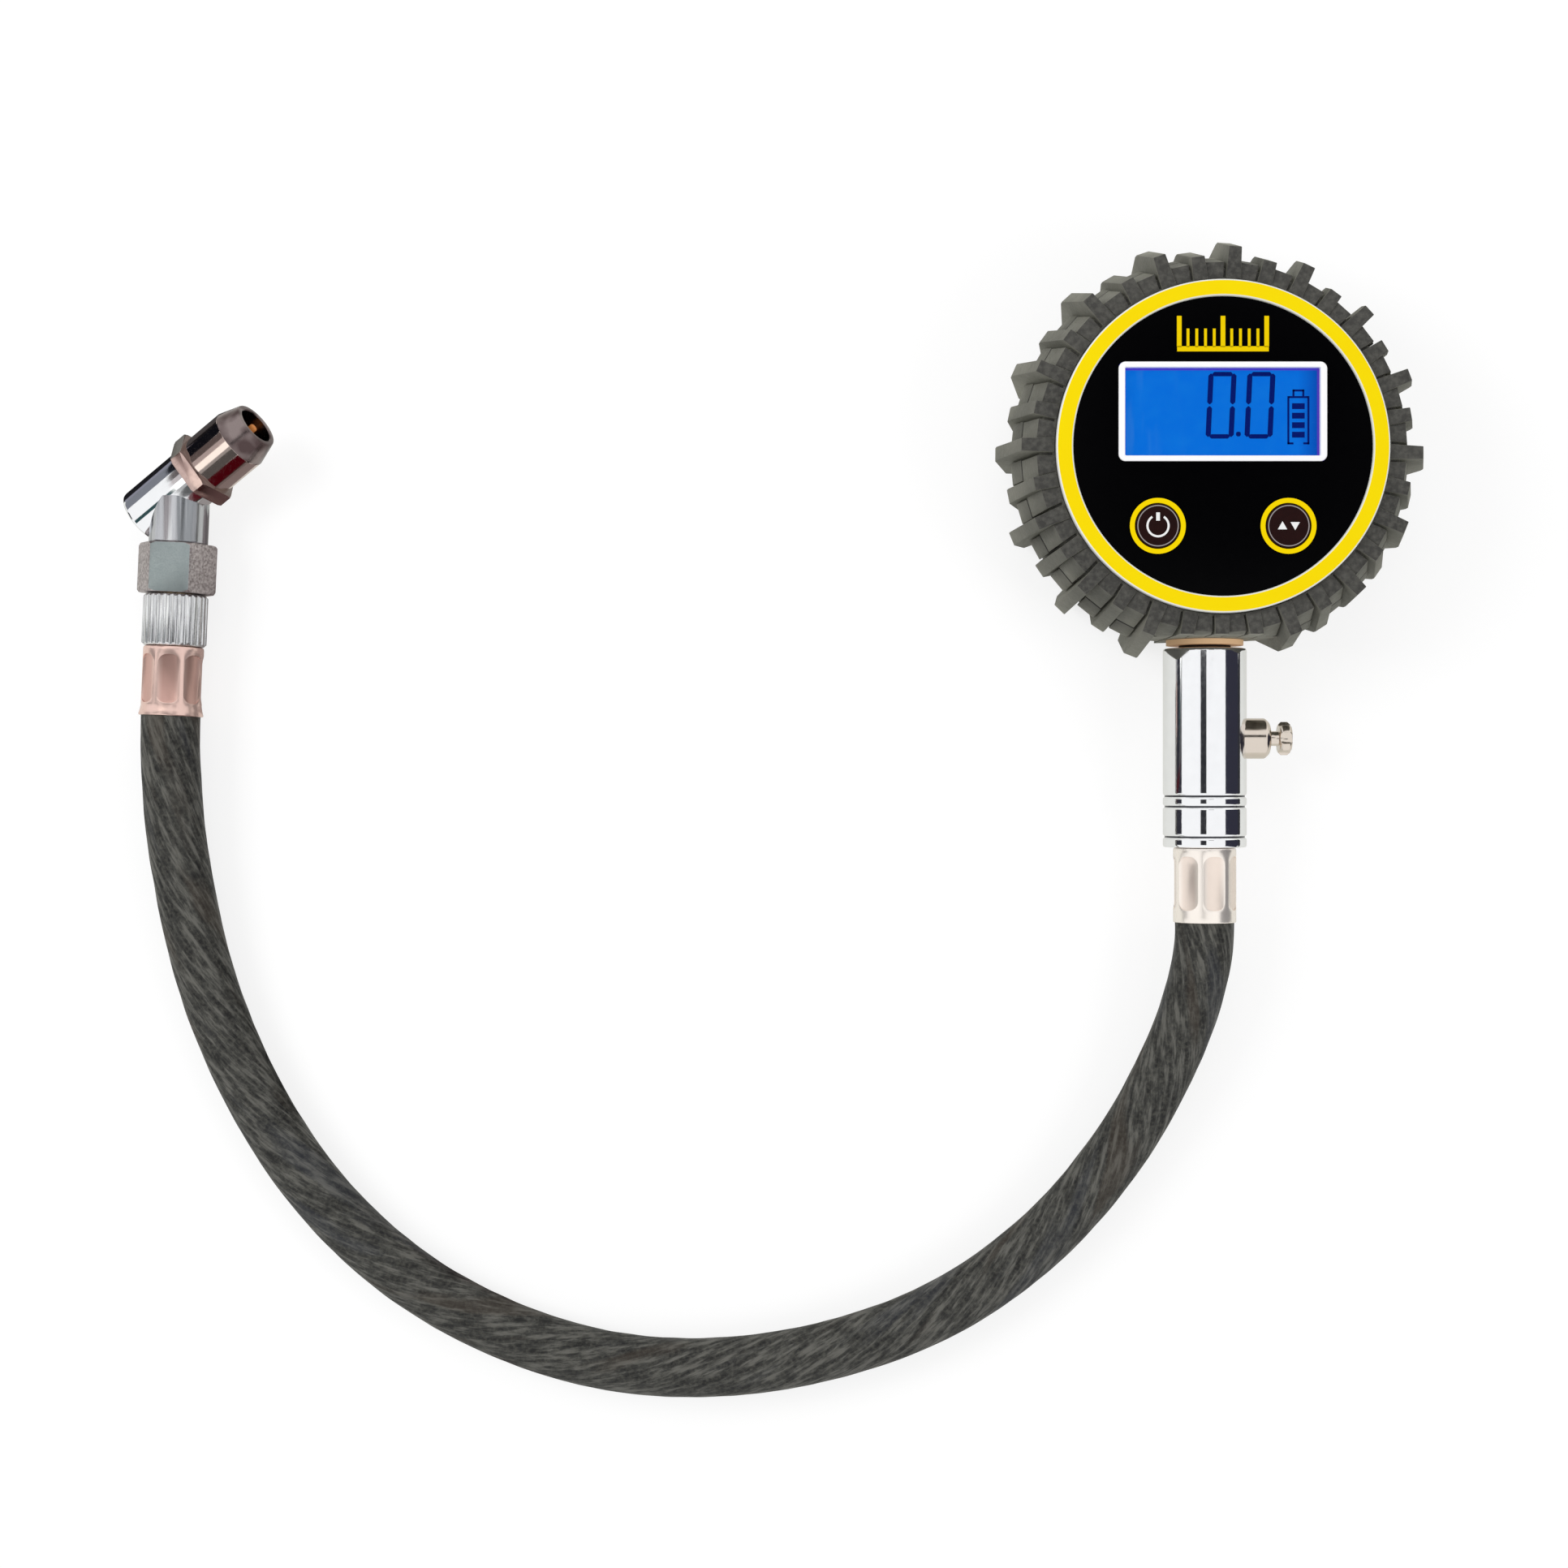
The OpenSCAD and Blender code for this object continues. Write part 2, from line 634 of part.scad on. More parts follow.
module dial_panel() {
    color([0.02, 0.02, 0.02]) difference() {
        translate([0, 0, dial_back]) cylinder(r = dial_d / 2 - TURN_GAP, h = dial_t);
        at_display(dial_back - CUT) round_slab(frame_w + FACE_GAP, frame_d + FACE_GAP,
            dial_t + 2 * CUT, frame_corner_r);
        for (side = [-1, 1]) at_buttons(side) translate([0, 0, dial_back - CUT])
            cylinder(r = ring_r + TURN_GAP, h = dial_t + 2 * CUT);
    }
}

// ---------- display ----------

module display_frame() {
    color([0.97, 0.97, 0.97]) difference() {
        at_display(dial_back) round_slab(frame_w, frame_d, dial_t + 0.25, frame_corner_r);
        at_display(dial_back - CUT) slab(window_w, window_d, dial_t + 3 * CUT);
    }
}

module display_window() {
    color([0.75, 0.85, 1, 0.35]) at_display(dial_back + 0.1)
        slab(window_w - FACE_GAP, window_d - FACE_GAP, dial_t - 0.3);
}

module lcd_glass() {
    color([0, 0.42, 0.88]) at_display(lcd_back) slab(glass_w, glass_d, lcd_t);
}

module lcd_backlight() {
    color([0.8, 0.9, 1]) at_display(backlight_back)
        slab(glass_w - 1, backlight_d, backlight_t);
}

module lcd_holder() {
    color([0.9, 0.9, 0.88]) at_display(board_top) {
        difference() {
            slab(holder_w, holder_d, holder_front - board_top);
            translate([0, 0, -CUT])
                slab(glass_w + 0.4, glass_d + 0.4, holder_front - board_top + 2 * CUT);
        }
        for (y = [-1, 1]) translate([0, y * (backlight_d - rail_t) / 2, 0])
            slab(glass_w + 1, rail_t, backlight_back - board_top);
    }
}

module lcd_strips() {
    color([0.75, 0.4, 0.45]) for (y = [-1, 1]) at_display(board_top) translate([0, y * strip_y, 0])
        slab(strip_w, strip_t, lcd_back - board_top);
}

// ---------- buttons ----------

module push_button(side) {
    color([0.12, 0.07, 0.07]) at_buttons(side) {
        translate([0, 0, flange_front - flange_t]) cylinder(r = flange_r, h = flange_t);
        translate([0, 0, flange_front - flange_t])
            turned_rod(button_r, button_front - flange_front + flange_t, 0.25);
        translate([0, 0, dome_top]) cylinder(r = button_stem_r, h = flange_front - dome_top);
    }
}

module button_ring(side) {
    color([1, 0.86, 0]) at_buttons(side) translate([0, 0, dial_back])
        tube(ring_r, ring_bore_r, ring_front - dial_back);
}

module button_dome(side) {
    color([0.5, 0.5, 0.5]) at_buttons(side) translate([0, 0, board_top])
        rotate_extrude() polygon([[0, 0.3], [2.6, 0.3], [2.6, 0], [dome_r, 0], [dome_r, 0.8],
            [2.2, dome_h - 1.4], [2, dome_h], [0, dome_h]]);
}

module power_button() { push_button(-1); }
module unit_button() { push_button(1); }
module power_ring() { button_ring(-1); }
module unit_ring() { button_ring(1); }
module power_dome() { button_dome(-1); }
module unit_dome() { button_dome(1); }

// ---------- electronics ----------

module circuit_board() {
    color([0.05, 0.35, 0.15]) difference() {
        translate([0, 0, split_h]) cylinder(r = board_r, h = board_t);
        at_bosses() translate([0, 0, split_h - CUT])
            cylinder(r = case_screw_d / 2 + 0.3, h = board_t + 2 * CUT);
    }
}

// Processor, buzzer, two capacitors and the memory chip
module board_parts() {
    processor = [10, 10, 1.4];
    buzzer_r = 3;
    buzzer_h = 6;
    capacitor = [3.2, 1.6, 1];
    capacitor_x = 6.5;                  // from the middle
    capacitor_y = 8;                    // above the buttons
    memory = [5, 5, 1.2];
    memory_x = -22;
    memory_y = 6;                       // above the buttons
    color([0.08, 0.08, 0.09]) {
        at_display(board_top) slab(processor.x, processor.y, processor.z);
        translate([0, -button_y, board_top]) cylinder(r = buzzer_r, h = buzzer_h);
        for (x = [-1, 1]) translate([x * capacitor_x, capacitor_y - button_y, board_top])
            slab(capacitor.x, capacitor.y, capacitor.z);
        translate([memory_x, memory_y - button_y, board_top]) slab(memory.x, memory.y, memory.z);
    }
}

module battery_cells() {
    color([0.55, 0.56, 0.58]) for (side = [-1, 1])
        translate([side * (bay_len / 2 - contact_t), side * cell_y, cell_z]) rotate([0, -side * 90, 0]) {
            cylinder(r = cell_d * 0.18, h = nub_len);
            translate([0, 0, nub_len]) turned_rod(cell_d / 2, cell_len - nub_len, 0.4);
        }
}

module battery_contacts() {
    spring_len = bay_len - 2 * contact_t - cell_len;
    spring_foot_r = 3.4;
    spring_tip_r = 2.2;
    low = back_t + 0.1;
    color([0.75, 0.72, 0.6]) {
        translate([-bay_len / 2, -bay_w / 2 + 0.3, low])
            cube([contact_t, bay_w - 0.6, bay_roof - low - 0.3]);
        for (y = [-1, 1]) translate([bay_len / 2 - contact_t, y * cell_y - contact_w / 2, low])
            cube([contact_t, contact_w, bay_roof - low - 0.3]);
        for (y = [-1, 1]) translate([bay_len / 2 - contact_t, y * cell_y - tab_w / 2, bay_roof - 2])
            cube([contact_t, tab_w, bay_wall + 3]);
        for (side = [-1, 1]) translate([side * (bay_len / 2 - contact_t), -side * cell_y, cell_z])
            rotate([0, -side * 90, 0]) cylinder(r1 = spring_foot_r, r2 = spring_tip_r, h = spring_len);
    }
}

module battery_wires() {
    tab_top = bay_roof + bay_wall + 1;
    colours = [[0.75, 0.08, 0.06], [0.08, 0.08, 0.08]];
    for (i = [0, 1]) color(colours[i])
        translate([bay_len / 2 - contact_t / 2, (2 * i - 1) * cell_y, tab_top])
            cylinder(r = 0.6, h = split_h - tab_top);
}

module battery_door() {
    catch_x = 12;
    catch_w = 4;
    catch_t = 0.5;
    catch_h = 2.6;
    color([0.18, 0.18, 0.19]) difference() {
        union() {
            round_slab(door_len, door_w, door_t, door_corner_r);
            translate([0, door_screw_y, 0]) cylinder(r = door_ear_r, h = door_t);
            for (x = [-1, 1])
                translate([x * catch_x - catch_w / 2, bay_w / 2 - 0.1 - catch_t, door_t - 0.3])
                    cube([catch_w, catch_t, catch_h]);
        }
        translate([0, door_screw_y, -CUT]) cylinder(r = door_screw_neck_r + 0.1, h = door_t + 2 * CUT);
        translate([0, door_screw_y, -0.01])
            cylinder(r1 = door_screw_head_r + 0.1, r2 = door_screw_neck_r + 0.1,
                h = door_screw_head_t + 0.02);
    }
}

module door_screw() {
    recess_w = 0.4;
    recess_len = 2.4;
    recess_depth = 0.5;
    color([0.7, 0.7, 0.72]) translate([0, door_screw_y, 0]) difference() {
        union() {
            cylinder(r1 = door_screw_head_r, r2 = door_screw_neck_r, h = door_screw_head_t);
            cylinder(r = door_screw_r, h = door_screw_len);
        }
        for (turn = [0, 90]) rotate(turn) slab(recess_w, recess_len, recess_depth);
    }
}

module case_screws() {
    recess_w = 0.7;
    recess_len = 3;
    recess_depth = 0.8;
    color([0.7, 0.7, 0.72]) at_bosses() translate([0, 0, screw_head_z - screw_head_t]) difference() {
        union() {
            cylinder(r = screw_head_r, h = screw_head_t);
            cylinder(r = case_screw_d / 2, h = screw_head_t + case_screw_len);
        }
        for (turn = [0, 90]) rotate(turn) translate([0, 0, -CUT])
            slab(recess_w, recess_len, CUT + recess_depth);
    }
}

// ---------- port and stem ----------

module port_fitting() {
    color([0.8, 0.58, 0.4]) difference() {
        union() {
            on_stem(sensor_front_s) cylinder(r = port_shank_r, h = flat_s - sensor_front_s);
            on_stem(port_seat_s + washer_t)
                cylinder(r = port_shoulder_r, h = port_flange_s - port_seat_s - washer_t);
            on_stem(port_flange_s) cylinder(r = port_flange_d / 2, h = port_flange_t);
            on_stem(port_flange_s)
                cylinder(r = thread_r, h = port_flange_t + port_seal_t + port_thread_len);
        }
        on_stem(sensor_front_s - CUT) cylinder(r = port_bore_r, h = stem_s + port_thread_len);
    }
}

module port_nut() {
    color([0.8, 0.65, 0.4]) on_stem(port_pad_s - port_nut_t) difference() {
        hexagon(port_nut_af, port_nut_t);
        translate([0, 0, -CUT]) cylinder(r = port_shank_r + TURN_GAP, h = port_nut_t + 2 * CUT);
    }
}

module port_washer() {
    color([0.15, 0.15, 0.15]) on_stem(port_seat_s) tube(port_shoulder_r, port_shank_r + FACE_GAP, washer_t);
}

module port_seal() {
    color([0.12, 0.1, 0.1]) on_stem(port_seal_s) tube(port_seal_d / 2, thread_r + TURN_GAP, port_seal_t);
}

module pressure_sensor() {
    color([0.72, 0.72, 0.7]) difference() {
        on_stem(sensor_front_s - sensor_len) turned_rod(sensor_r, sensor_len, 0.4);
        on_stem(sensor_front_s - 1) cylinder(r = port_bore_r, h = 1 + CUT);
    }
}

module sensor_wires() {
    rear_y = -(sensor_front_s - sensor_len);
    colours = [[0.75, 0.08, 0.06], [0.9, 0.9, 0.85], [0.08, 0.08, 0.08]];
    for (i = [-1:1]) color(colours[i + 1]) translate([i * 2, rear_y, stem_z]) {
        rotate([-90, 0, 0]) cylinder(r = 0.5, h = 2);
        translate([0, 2, 0]) sphere(r = 0.5);
        translate([0, 2, 0]) cylinder(r = 0.5, h = split_h - stem_z);
    }
}

module stem_body() {
    groove_wire = 0.45;
    color([0.86, 0.87, 0.9]) difference() {
        on_stem(stem_s) turned_rod(stem_r, stem_len, 0.4);
        for (g = groove_places) on_stem(stem_end_s - g) round_ring(stem_r, groove_wire);
        on_stem(stem_s - CUT) cylinder(r = socket_r, h = port_thread_len + CUT + 0.4);
        on_stem(stem_s) cylinder(r = airway_d / 2, h = stem_len - barb_thread_len);
        on_stem(stem_end_s - barb_thread_len - 0.4) cylinder(r = socket_r, h = barb_thread_len + 0.4 + CUT);
        on_bleed(0) cylinder(r = bleed_shank_r + TURN_GAP, h = stem_r);
        on_bleed(bleed_seat_x) cylinder(r = bleed_boss_r + FACE_GAP, h = stem_r);
    }
}

// ---------- bleed valve ----------

module bleed_boss() {
    color([0.8, 0.76, 0.7]) difference() {
        union() {
            on_bleed(bleed_shank_x) cylinder(r = bleed_shank_r, h = bleed_seat_x - bleed_shank_x + 1);
            on_bleed(bleed_seat_x) rotate_extrude() polygon([[0, 0], [bleed_boss_r, 0],
                [bleed_boss_r, bleed_reach - bleed_seat_x - 1],
                [bleed_boss_r - 0.8, bleed_reach - bleed_seat_x], [0, bleed_reach - bleed_seat_x]]);
        }
        on_bleed(0) cylinder(r = bleed_pin_r + TURN_GAP, h = bleed_reach + CUT);
        on_bleed(bleed_chamber_x)
            cylinder(r = bleed_chamber_r, h = bleed_reach - bleed_lip_t - bleed_chamber_x);
    }
}

module bleed_knob() {
    knob_r = bleed_knob_d / 2;
    notch_r = knob_r * 0.4;
    color([0.8, 0.76, 0.7]) {
        on_bleed(bleed_seal_x - 0.8) cylinder(r = bleed_pin_r, h = bleed_knob_x - bleed_seal_x + 1);
        on_bleed(bleed_collar_x) cylinder(r = bleed_chamber_r - SLIDE_GAP, h = bleed_collar_t);
        on_bleed(bleed_knob_x) difference() {
            turned_rod(knob_r, bleed_knob_t, 0.6);
            for (i = [0:bleed_lobes - 1]) rotate(360 / bleed_lobes * (i + 0.5))
                translate([knob_r + notch_r * 0.4, 0, -CUT])
                    cylinder(r = notch_r, h = bleed_knob_t + 2 * CUT);
        }
    }
}

module bleed_spring() {
    wire = 0.25;
    color([0.7, 0.7, 0.72]) on_bleed(bleed_chamber_x + TURN_GAP)
        coil_spring((bleed_pin_r + bleed_chamber_r) / 2, wire,
            bleed_collar_x - bleed_chamber_x - 2 * TURN_GAP, 3);
}

module bleed_seal() {
    color([0.1, 0.1, 0.1]) on_bleed(bleed_seal_x)
        tube(bleed_shank_r - 0.2, bleed_pin_r + TURN_GAP, bleed_seal_t);
}

// ---------- hose and ferrules ----------

// Hose nipple: a flange behind the ferrule's end and a ribbed tail
module nipple(flange_r, tail_len) {
    rib_len = 2;
    rib_pitch = 2.6;
    rib_h = 0.15;
    first_rib = barb_flange_t + 1.5;
    cylinder(r = flange_r, h = barb_flange_t);
    cylinder(r = tail_r - rib_h, h = tail_len);
    for (z = [first_rib:rib_pitch:tail_len - rib_len]) translate([0, 0, z])
        cylinder(r1 = tail_r, r2 = tail_r - rib_h, h = rib_len);
}

module crimped_ferrule(r, flare_r, length, turn) {
    chamfer = 0.5;
    flare_len = 2.5;
    flat_start = 2;
    flat_end = 2.9;                     // from the mouth
    flat_w = 5.2;
    difference() {
        rotate_extrude() polygon([[0, 0], [r - chamfer, 0], [r, chamfer], [r, length - flare_len],
            [flare_r, length], [0, length]]);
        translate([0, 0, -CUT]) cylinder(r = thread_r + TURN_GAP, h = length);
        translate([0, 0, ferrule_wall]) cylinder(r = r - ferrule_wall, h = length);
        for (i = [0:crimp_count - 1]) rotate(turn + 360 / crimp_count * i)
            translate([r - crimp_depth, -flat_w / 2, flat_start])
                cube([crimp_depth + CUT, flat_w, length - flat_start - flat_end]);
    }
}

module gauge_barb() {
    color([0.8, 0.65, 0.4]) difference() {
        union() {
            on_stem(stem_end_s - barb_thread_len)
                cylinder(r = thread_r, h = barb_thread_len + FACE_GAP + ferrule_wall + TURN_GAP + 0.5);
            on_stem(gauge_ferrule_s + ferrule_wall + TURN_GAP)
                nipple(gauge_crimp_r - 0.1, gauge_ferrule_len - ferrule_wall - 2);
        }
        on_stem(stem_end_s - barb_thread_len - CUT)
            cylinder(r = port_bore_r, h = barb_thread_len + gauge_ferrule_len + CUT);
    }
}

module gauge_ferrule() {
    color([0.85, 0.74, 0.66]) on_stem(gauge_ferrule_s)
        crimped_ferrule(gauge_ferrule_d / 2, gauge_ferrule_d / 2, gauge_ferrule_len, gauge_crimp_turn);
}

module chuck_ferrule() {
    color([0.76, 0.56, 0.48]) on_neck(chuck_ferrule_front) rotate([180, 0, 0])
        crimped_ferrule(chuck_ferrule_d / 2, chuck_flare_d / 2, chuck_ferrule_len, chuck_crimp_turn);
}

module hose() {
    sides = 12;
    gauge_mouth = [0, -gauge_mouth_s, stem_z];
    gauge_end = gauge_mouth + [0, gauge_ferrule_len - ferrule_wall - barb_flange_t - 2 * FACE_GAP, 0];
    chuck_mouth_at = chuck_centre + chuck_mouth * neck_dir;
    chuck_end = chuck_mouth_at
        + (chuck_ferrule_len - ferrule_wall - barb_flange_t - 2 * FACE_GAP) * neck_dir;
    route = concat([gauge_mouth], HOSE_ROUTE, [chuck_mouth_at]);
    last = len(route) - 1;
    dirs = [for (i = [0:last]) i == 0 ? [0, -1, 0] : i == last ? neck_dir
        : route[i + 1] - route[i - 1]];
    outer = concat(
        [ring_points(gauge_end, [0, -1, 0], gauge_crimp_r, sides),
            ring_points(gauge_mouth, [0, -1, 0], gauge_crimp_r, sides)],
        [for (i = [0:last]) ring_points(route[i], dirs[i], hose_d / 2, sides)],
        [ring_points(chuck_mouth_at, neck_dir, chuck_crimp_r, sides),
            ring_points(chuck_end, neck_dir, chuck_crimp_r, sides)]);
    inner = concat([ring_points(chuck_end, neck_dir, hose_bore_d / 2, sides)],
        [for (i = [last:-1:0]) ring_points(route[i], dirs[i], hose_bore_d / 2, sides)],
        [ring_points(gauge_end, [0, -1, 0], hose_bore_d / 2, sides)]);
    rings = concat(outer, inner);
    color([0.2, 0.2, 0.19])
        polyhedron([for (ring = rings) for (p = ring) p], skin(len(rings), sides, true));
}

// ---------- swivel ----------

module chuck_barb() {
    clip_groove_r = journal_r - 0.6;
    oring_groove_r = journal_r - 1.5 * oring_wire;
    oring_at = (nut_rear + chamber_rear) / 2;
    color([0.8, 0.65, 0.4]) difference() {
        union() {
            on_neck(chuck_ferrule_front - ferrule_wall - TURN_GAP) rotate([180, 0, 0])
                nipple(chuck_crimp_r - 0.1, chuck_ferrule_len - ferrule_wall - 2);
            on_neck(chuck_ferrule_front - ferrule_wall - TURN_GAP - 0.5) cylinder(r = thread_r,
                h = collar_front - chuck_ferrule_front + ferrule_wall + TURN_GAP + 0.5);
            on_neck(collar_front - 0.5) cylinder(r = journal_r, h = journal_front - collar_front + 0.5);
        }
        on_neck(chuck_mouth - CUT) cylinder(r = port_bore_r, h = journal_front - chuck_mouth + 2 * CUT);
        on_neck(clip_rear - 0.1) tube(journal_r + CUT, clip_groove_r, clip_t + 0.2);
        on_neck(oring_at - oring_wire - 0.1) tube(journal_r + CUT, oring_groove_r, 2 * oring_wire + 0.2);
    }
}

module knurled_collar() {
    outer_r = collar_d / 2;
    notch_depth = 0.35;
    notch_r = outer_r * PI / knurl_count * 0.7;
    color([0.82, 0.83, 0.85]) on_neck(collar_rear) difference() {
        turned_rod(outer_r, collar_len, 0.6);
        for (i = [0:knurl_count - 1]) rotate(360 / knurl_count * (i + 0.5))
            translate([outer_r + notch_r - notch_depth, 0, -CUT])
                cylinder(r = notch_r, h = collar_len + 2 * CUT);
        translate([0, 0, -CUT]) cylinder(r = thread_r + TURN_GAP, h = collar_len + 2 * CUT);
    }
}

module swivel_oring() {
    oring_at = (nut_rear + chamber_rear) / 2;
    color([0.1, 0.1, 0.1]) on_neck(oring_at)
        round_ring(journal_r - oring_wire / 2 - 0.02, oring_wire / 2);
}

module swivel_clip() {
    color([0.5, 0.5, 0.52]) on_neck(clip_rear) difference() {
        tube(chamber_r - 0.4, journal_r - 0.55, clip_t);
        translate([-0.8, 0, -CUT]) cube([1.6, chamber_r, clip_t + 2 * CUT]);
    }
}

module swivel_nut() {
    color([0.58, 0.61, 0.62]) on_neck(nut_rear) difference() {
        intersection() {
            hexagon(nut_af, nut_len);
            turned_rod(nut_af / 2 / cos(30), nut_len, 0.6);
        }
        translate([0, 0, -CUT]) cylinder(r = journal_r + TURN_GAP, h = nut_len + 2 * CUT);
        translate([0, 0, nut_len - chamber_len]) cylinder(r = chamber_r, h = chamber_len + CUT);
    }
}

// ---------- chuck ----------

module chuck_body() {
    color([0.8, 0.82, 0.85]) difference() {
        union() {
            on_head(-body_rear) turned_rod(body_d / 2, body_rear + body_front, 0.3);
            on_neck(nut_front + FACE_GAP) cylinder(r = neck_d / 2, h = neck_len - FACE_GAP - neck_inset);
            on_neck(nut_front - spigot_len) cylinder(r = chamber_r - TURN_GAP, h = spigot_len + 1);
        }
        on_neck(nut_front - spigot_len - CUT) cylinder(r = port_bore_r, h = neck_len + spigot_len + CUT);
        on_head(body_socket) cylinder(r = shank_r + TURN_GAP, h = shank_len + CUT);
        on_head(pin_tail_rear - depressor_travel - 0.4)
            cylinder(r = pin_tail_r + TURN_GAP, h = body_socket - pin_tail_rear + depressor_travel + CUT);
    }
}

module chuck_nose() {
    nose_r = nose_d / 2;
    color([0.47, 0.39, 0.37]) difference() {
        union() {
            on_head(body_socket + FACE_GAP) cylinder(r = shank_r, h = shank_len);
            on_head(nose_rear + FACE_GAP / 2) rotate(nose_turn) intersection() {
                hexagon(nose_af, nose_hex_t);
                turned_rod(nose_af / 2 / cos(30), nose_hex_t, 0.4);
            }
            on_head(nose_rear + nose_hex_t) rotate_extrude() polygon([[0, 0], [nose_r, 0],
                [nose_r, nose_len - nose_hex_t - cone_len], [rim_d / 2, nose_len - nose_hex_t - 0.3],
                [rim_d / 2 - 0.3, nose_len - nose_hex_t], [0, nose_len - nose_hex_t]]);
        }
        on_head(body_socket - CUT) cylinder(r = pin_room_r, h = pin_stop - body_socket + CUT);
        on_head(body_socket) cylinder(r = pin_room_r - 0.8, h = seal_rear - body_socket + CUT);
        on_head(seal_rear) cylinder(r = mouth_d / 2 + 1, h = seal_t);
        on_head(seal_rear) cylinder(r = mouth_d / 2, h = seal_t + mouth_depth + CUT);
    }
}

module chuck_seal() {
    color([0.08, 0.08, 0.08]) on_head(seal_rear + TURN_GAP)
        tube(mouth_d / 2 + 1 - TURN_GAP, 2.6, seal_t - 2 * TURN_GAP);
}

module depressor_pin() {
    color([0.85, 0.5, 0.2]) {
        on_head(pin_stop - pin_collar_t - FACE_GAP) difference() {
            cylinder(r = pin_room_r - FACE_GAP, h = pin_collar_t);
            for (i = [0:3]) rotate(90 * i) translate([pin_room_r, 0, -CUT])
                cylinder(r = 1.1, h = pin_collar_t + 2 * CUT);
        }
        on_head(pin_stop - pin_collar_t) cylinder(r = pin_tip_r, h = pin_tip - pin_stop + pin_collar_t);
        on_head(pin_tail_rear) cylinder(r = pin_tail_r, h = pin_stop - pin_collar_t - pin_tail_rear + 0.5);
    }
}

module depressor_spring() {
    color([0.7, 0.7, 0.72]) on_head(body_socket + 2 * FACE_GAP)
        coil_spring(2.6, 0.35, pin_stop - pin_collar_t - FACE_GAP - body_socket - 3 * FACE_GAP, 5);
}

boot();
case_back();
case_front();
case_gasket();
bezel_ring();
dial_panel();
display_frame();
display_window();
lcd_glass();
lcd_backlight();
lcd_holder();
lcd_strips();
circuit_board();
board_parts();
power_button();
power_ring();
power_dome();
unit_button();
unit_ring();
unit_dome();
battery_cells();
battery_contacts();
battery_wires();
battery_door();
door_screw();
case_screws();
port_fitting();
port_nut();
port_washer();
port_seal();
pressure_sensor();
sensor_wires();
stem_body();
bleed_boss();
bleed_knob();
bleed_spring();
bleed_seal();
gauge_barb();
gauge_ferrule();
hose();
chuck_ferrule();
chuck_barb();
knurled_collar();
swivel_oring();
swivel_clip();
swivel_nut();
chuck_body();
chuck_nose();
chuck_seal();
depressor_pin();
depressor_spring();
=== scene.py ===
import json
import math
import random

import bmesh
import bpy
from mathutils import Matrix, Vector, noise


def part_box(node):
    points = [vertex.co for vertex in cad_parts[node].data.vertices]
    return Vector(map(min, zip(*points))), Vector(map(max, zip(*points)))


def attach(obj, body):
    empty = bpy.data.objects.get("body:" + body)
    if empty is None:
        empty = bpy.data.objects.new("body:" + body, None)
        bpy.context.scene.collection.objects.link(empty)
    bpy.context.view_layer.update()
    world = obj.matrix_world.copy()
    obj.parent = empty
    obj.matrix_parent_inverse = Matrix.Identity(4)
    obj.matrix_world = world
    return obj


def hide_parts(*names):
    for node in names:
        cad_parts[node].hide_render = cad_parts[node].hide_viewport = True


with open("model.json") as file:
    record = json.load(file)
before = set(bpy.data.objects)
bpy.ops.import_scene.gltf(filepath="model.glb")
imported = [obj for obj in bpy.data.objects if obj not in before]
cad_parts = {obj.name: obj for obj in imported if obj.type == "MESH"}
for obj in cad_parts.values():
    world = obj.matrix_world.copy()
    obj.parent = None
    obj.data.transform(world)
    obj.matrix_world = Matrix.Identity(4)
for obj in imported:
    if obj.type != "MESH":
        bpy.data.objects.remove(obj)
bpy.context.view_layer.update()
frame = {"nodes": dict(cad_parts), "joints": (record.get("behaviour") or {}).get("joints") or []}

mm = 0.001
seeded = random.Random(11)
print("frame loaded:", len(frame["nodes"]), "nodes")


# camera

cameraView = {"x": -93.4, "y": -71.9, "height": 590, "lens": 59.55, "sensor": 36}

cameraData = bpy.data.cameras.new("topCamera")
cameraData.sensor_width = cameraView["sensor"]
cameraData.lens = cameraView["lens"]
cameraData.clip_start = 0.01
camera = bpy.data.objects.new("topCamera", cameraData)
camera.location = (cameraView["x"] * mm, cameraView["y"] * mm, cameraView["height"] * mm)
bpy.context.scene.collection.objects.link(camera)
bpy.context.scene.camera = camera


# places on the frame

joints = {joint["name"]: joint for joint in frame["joints"]}
neckDir = Vector(joints["chuck_swivel"]["axis"]).normalized()
headDir = -Vector(joints["depressor_press"]["axis"]).normalized()
chuckCentre = Vector(joints["chuck_swivel"]["pos_m"])


def nodeCentre(name):
    low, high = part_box(name)
    return (Vector(low) + Vector(high)) / 2


def axisPlace(origin, zDir, yHint):      # local z runs along zDir
    zAxis = zDir.normalized()
    xAxis = yHint.cross(zAxis).normalized()
    yAxis = zAxis.cross(xAxis)
    place = Matrix((xAxis, yAxis, zAxis)).transposed().to_4x4()
    place.translation = origin
    return place


def reach(name, place):      # ends along the axis of a node and its largest radius, in mm
    inverse = place.inverted()
    points = [inverse @ vertex.co for vertex in frame["nodes"][name].data.vertices]
    along = [point.z / mm for point in points]
    return min(along), max(along), max(math.hypot(point.x, point.y) for point in points) / mm


stemPlace = axisPlace(Vector((0, 0, nodeCentre("stem_body").z)), Vector((0, -1, 0)), Vector((0, 0, 1)))
bleedPlace = axisPlace(Vector((0, nodeCentre("bleed_boss").y, nodeCentre("stem_body").z)),
                       Vector((1, 0, 0)), Vector((0, 1, 0)))
neckPlace = axisPlace(chuckCentre, neckDir, Vector((0, 0, -1)))
headPlace = axisPlace(chuckCentre, headDir, neckDir.cross(headDir))
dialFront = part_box("dial_panel")[1][2] / mm
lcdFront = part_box("lcd_glass")[1][2] / mm


# modelling helpers

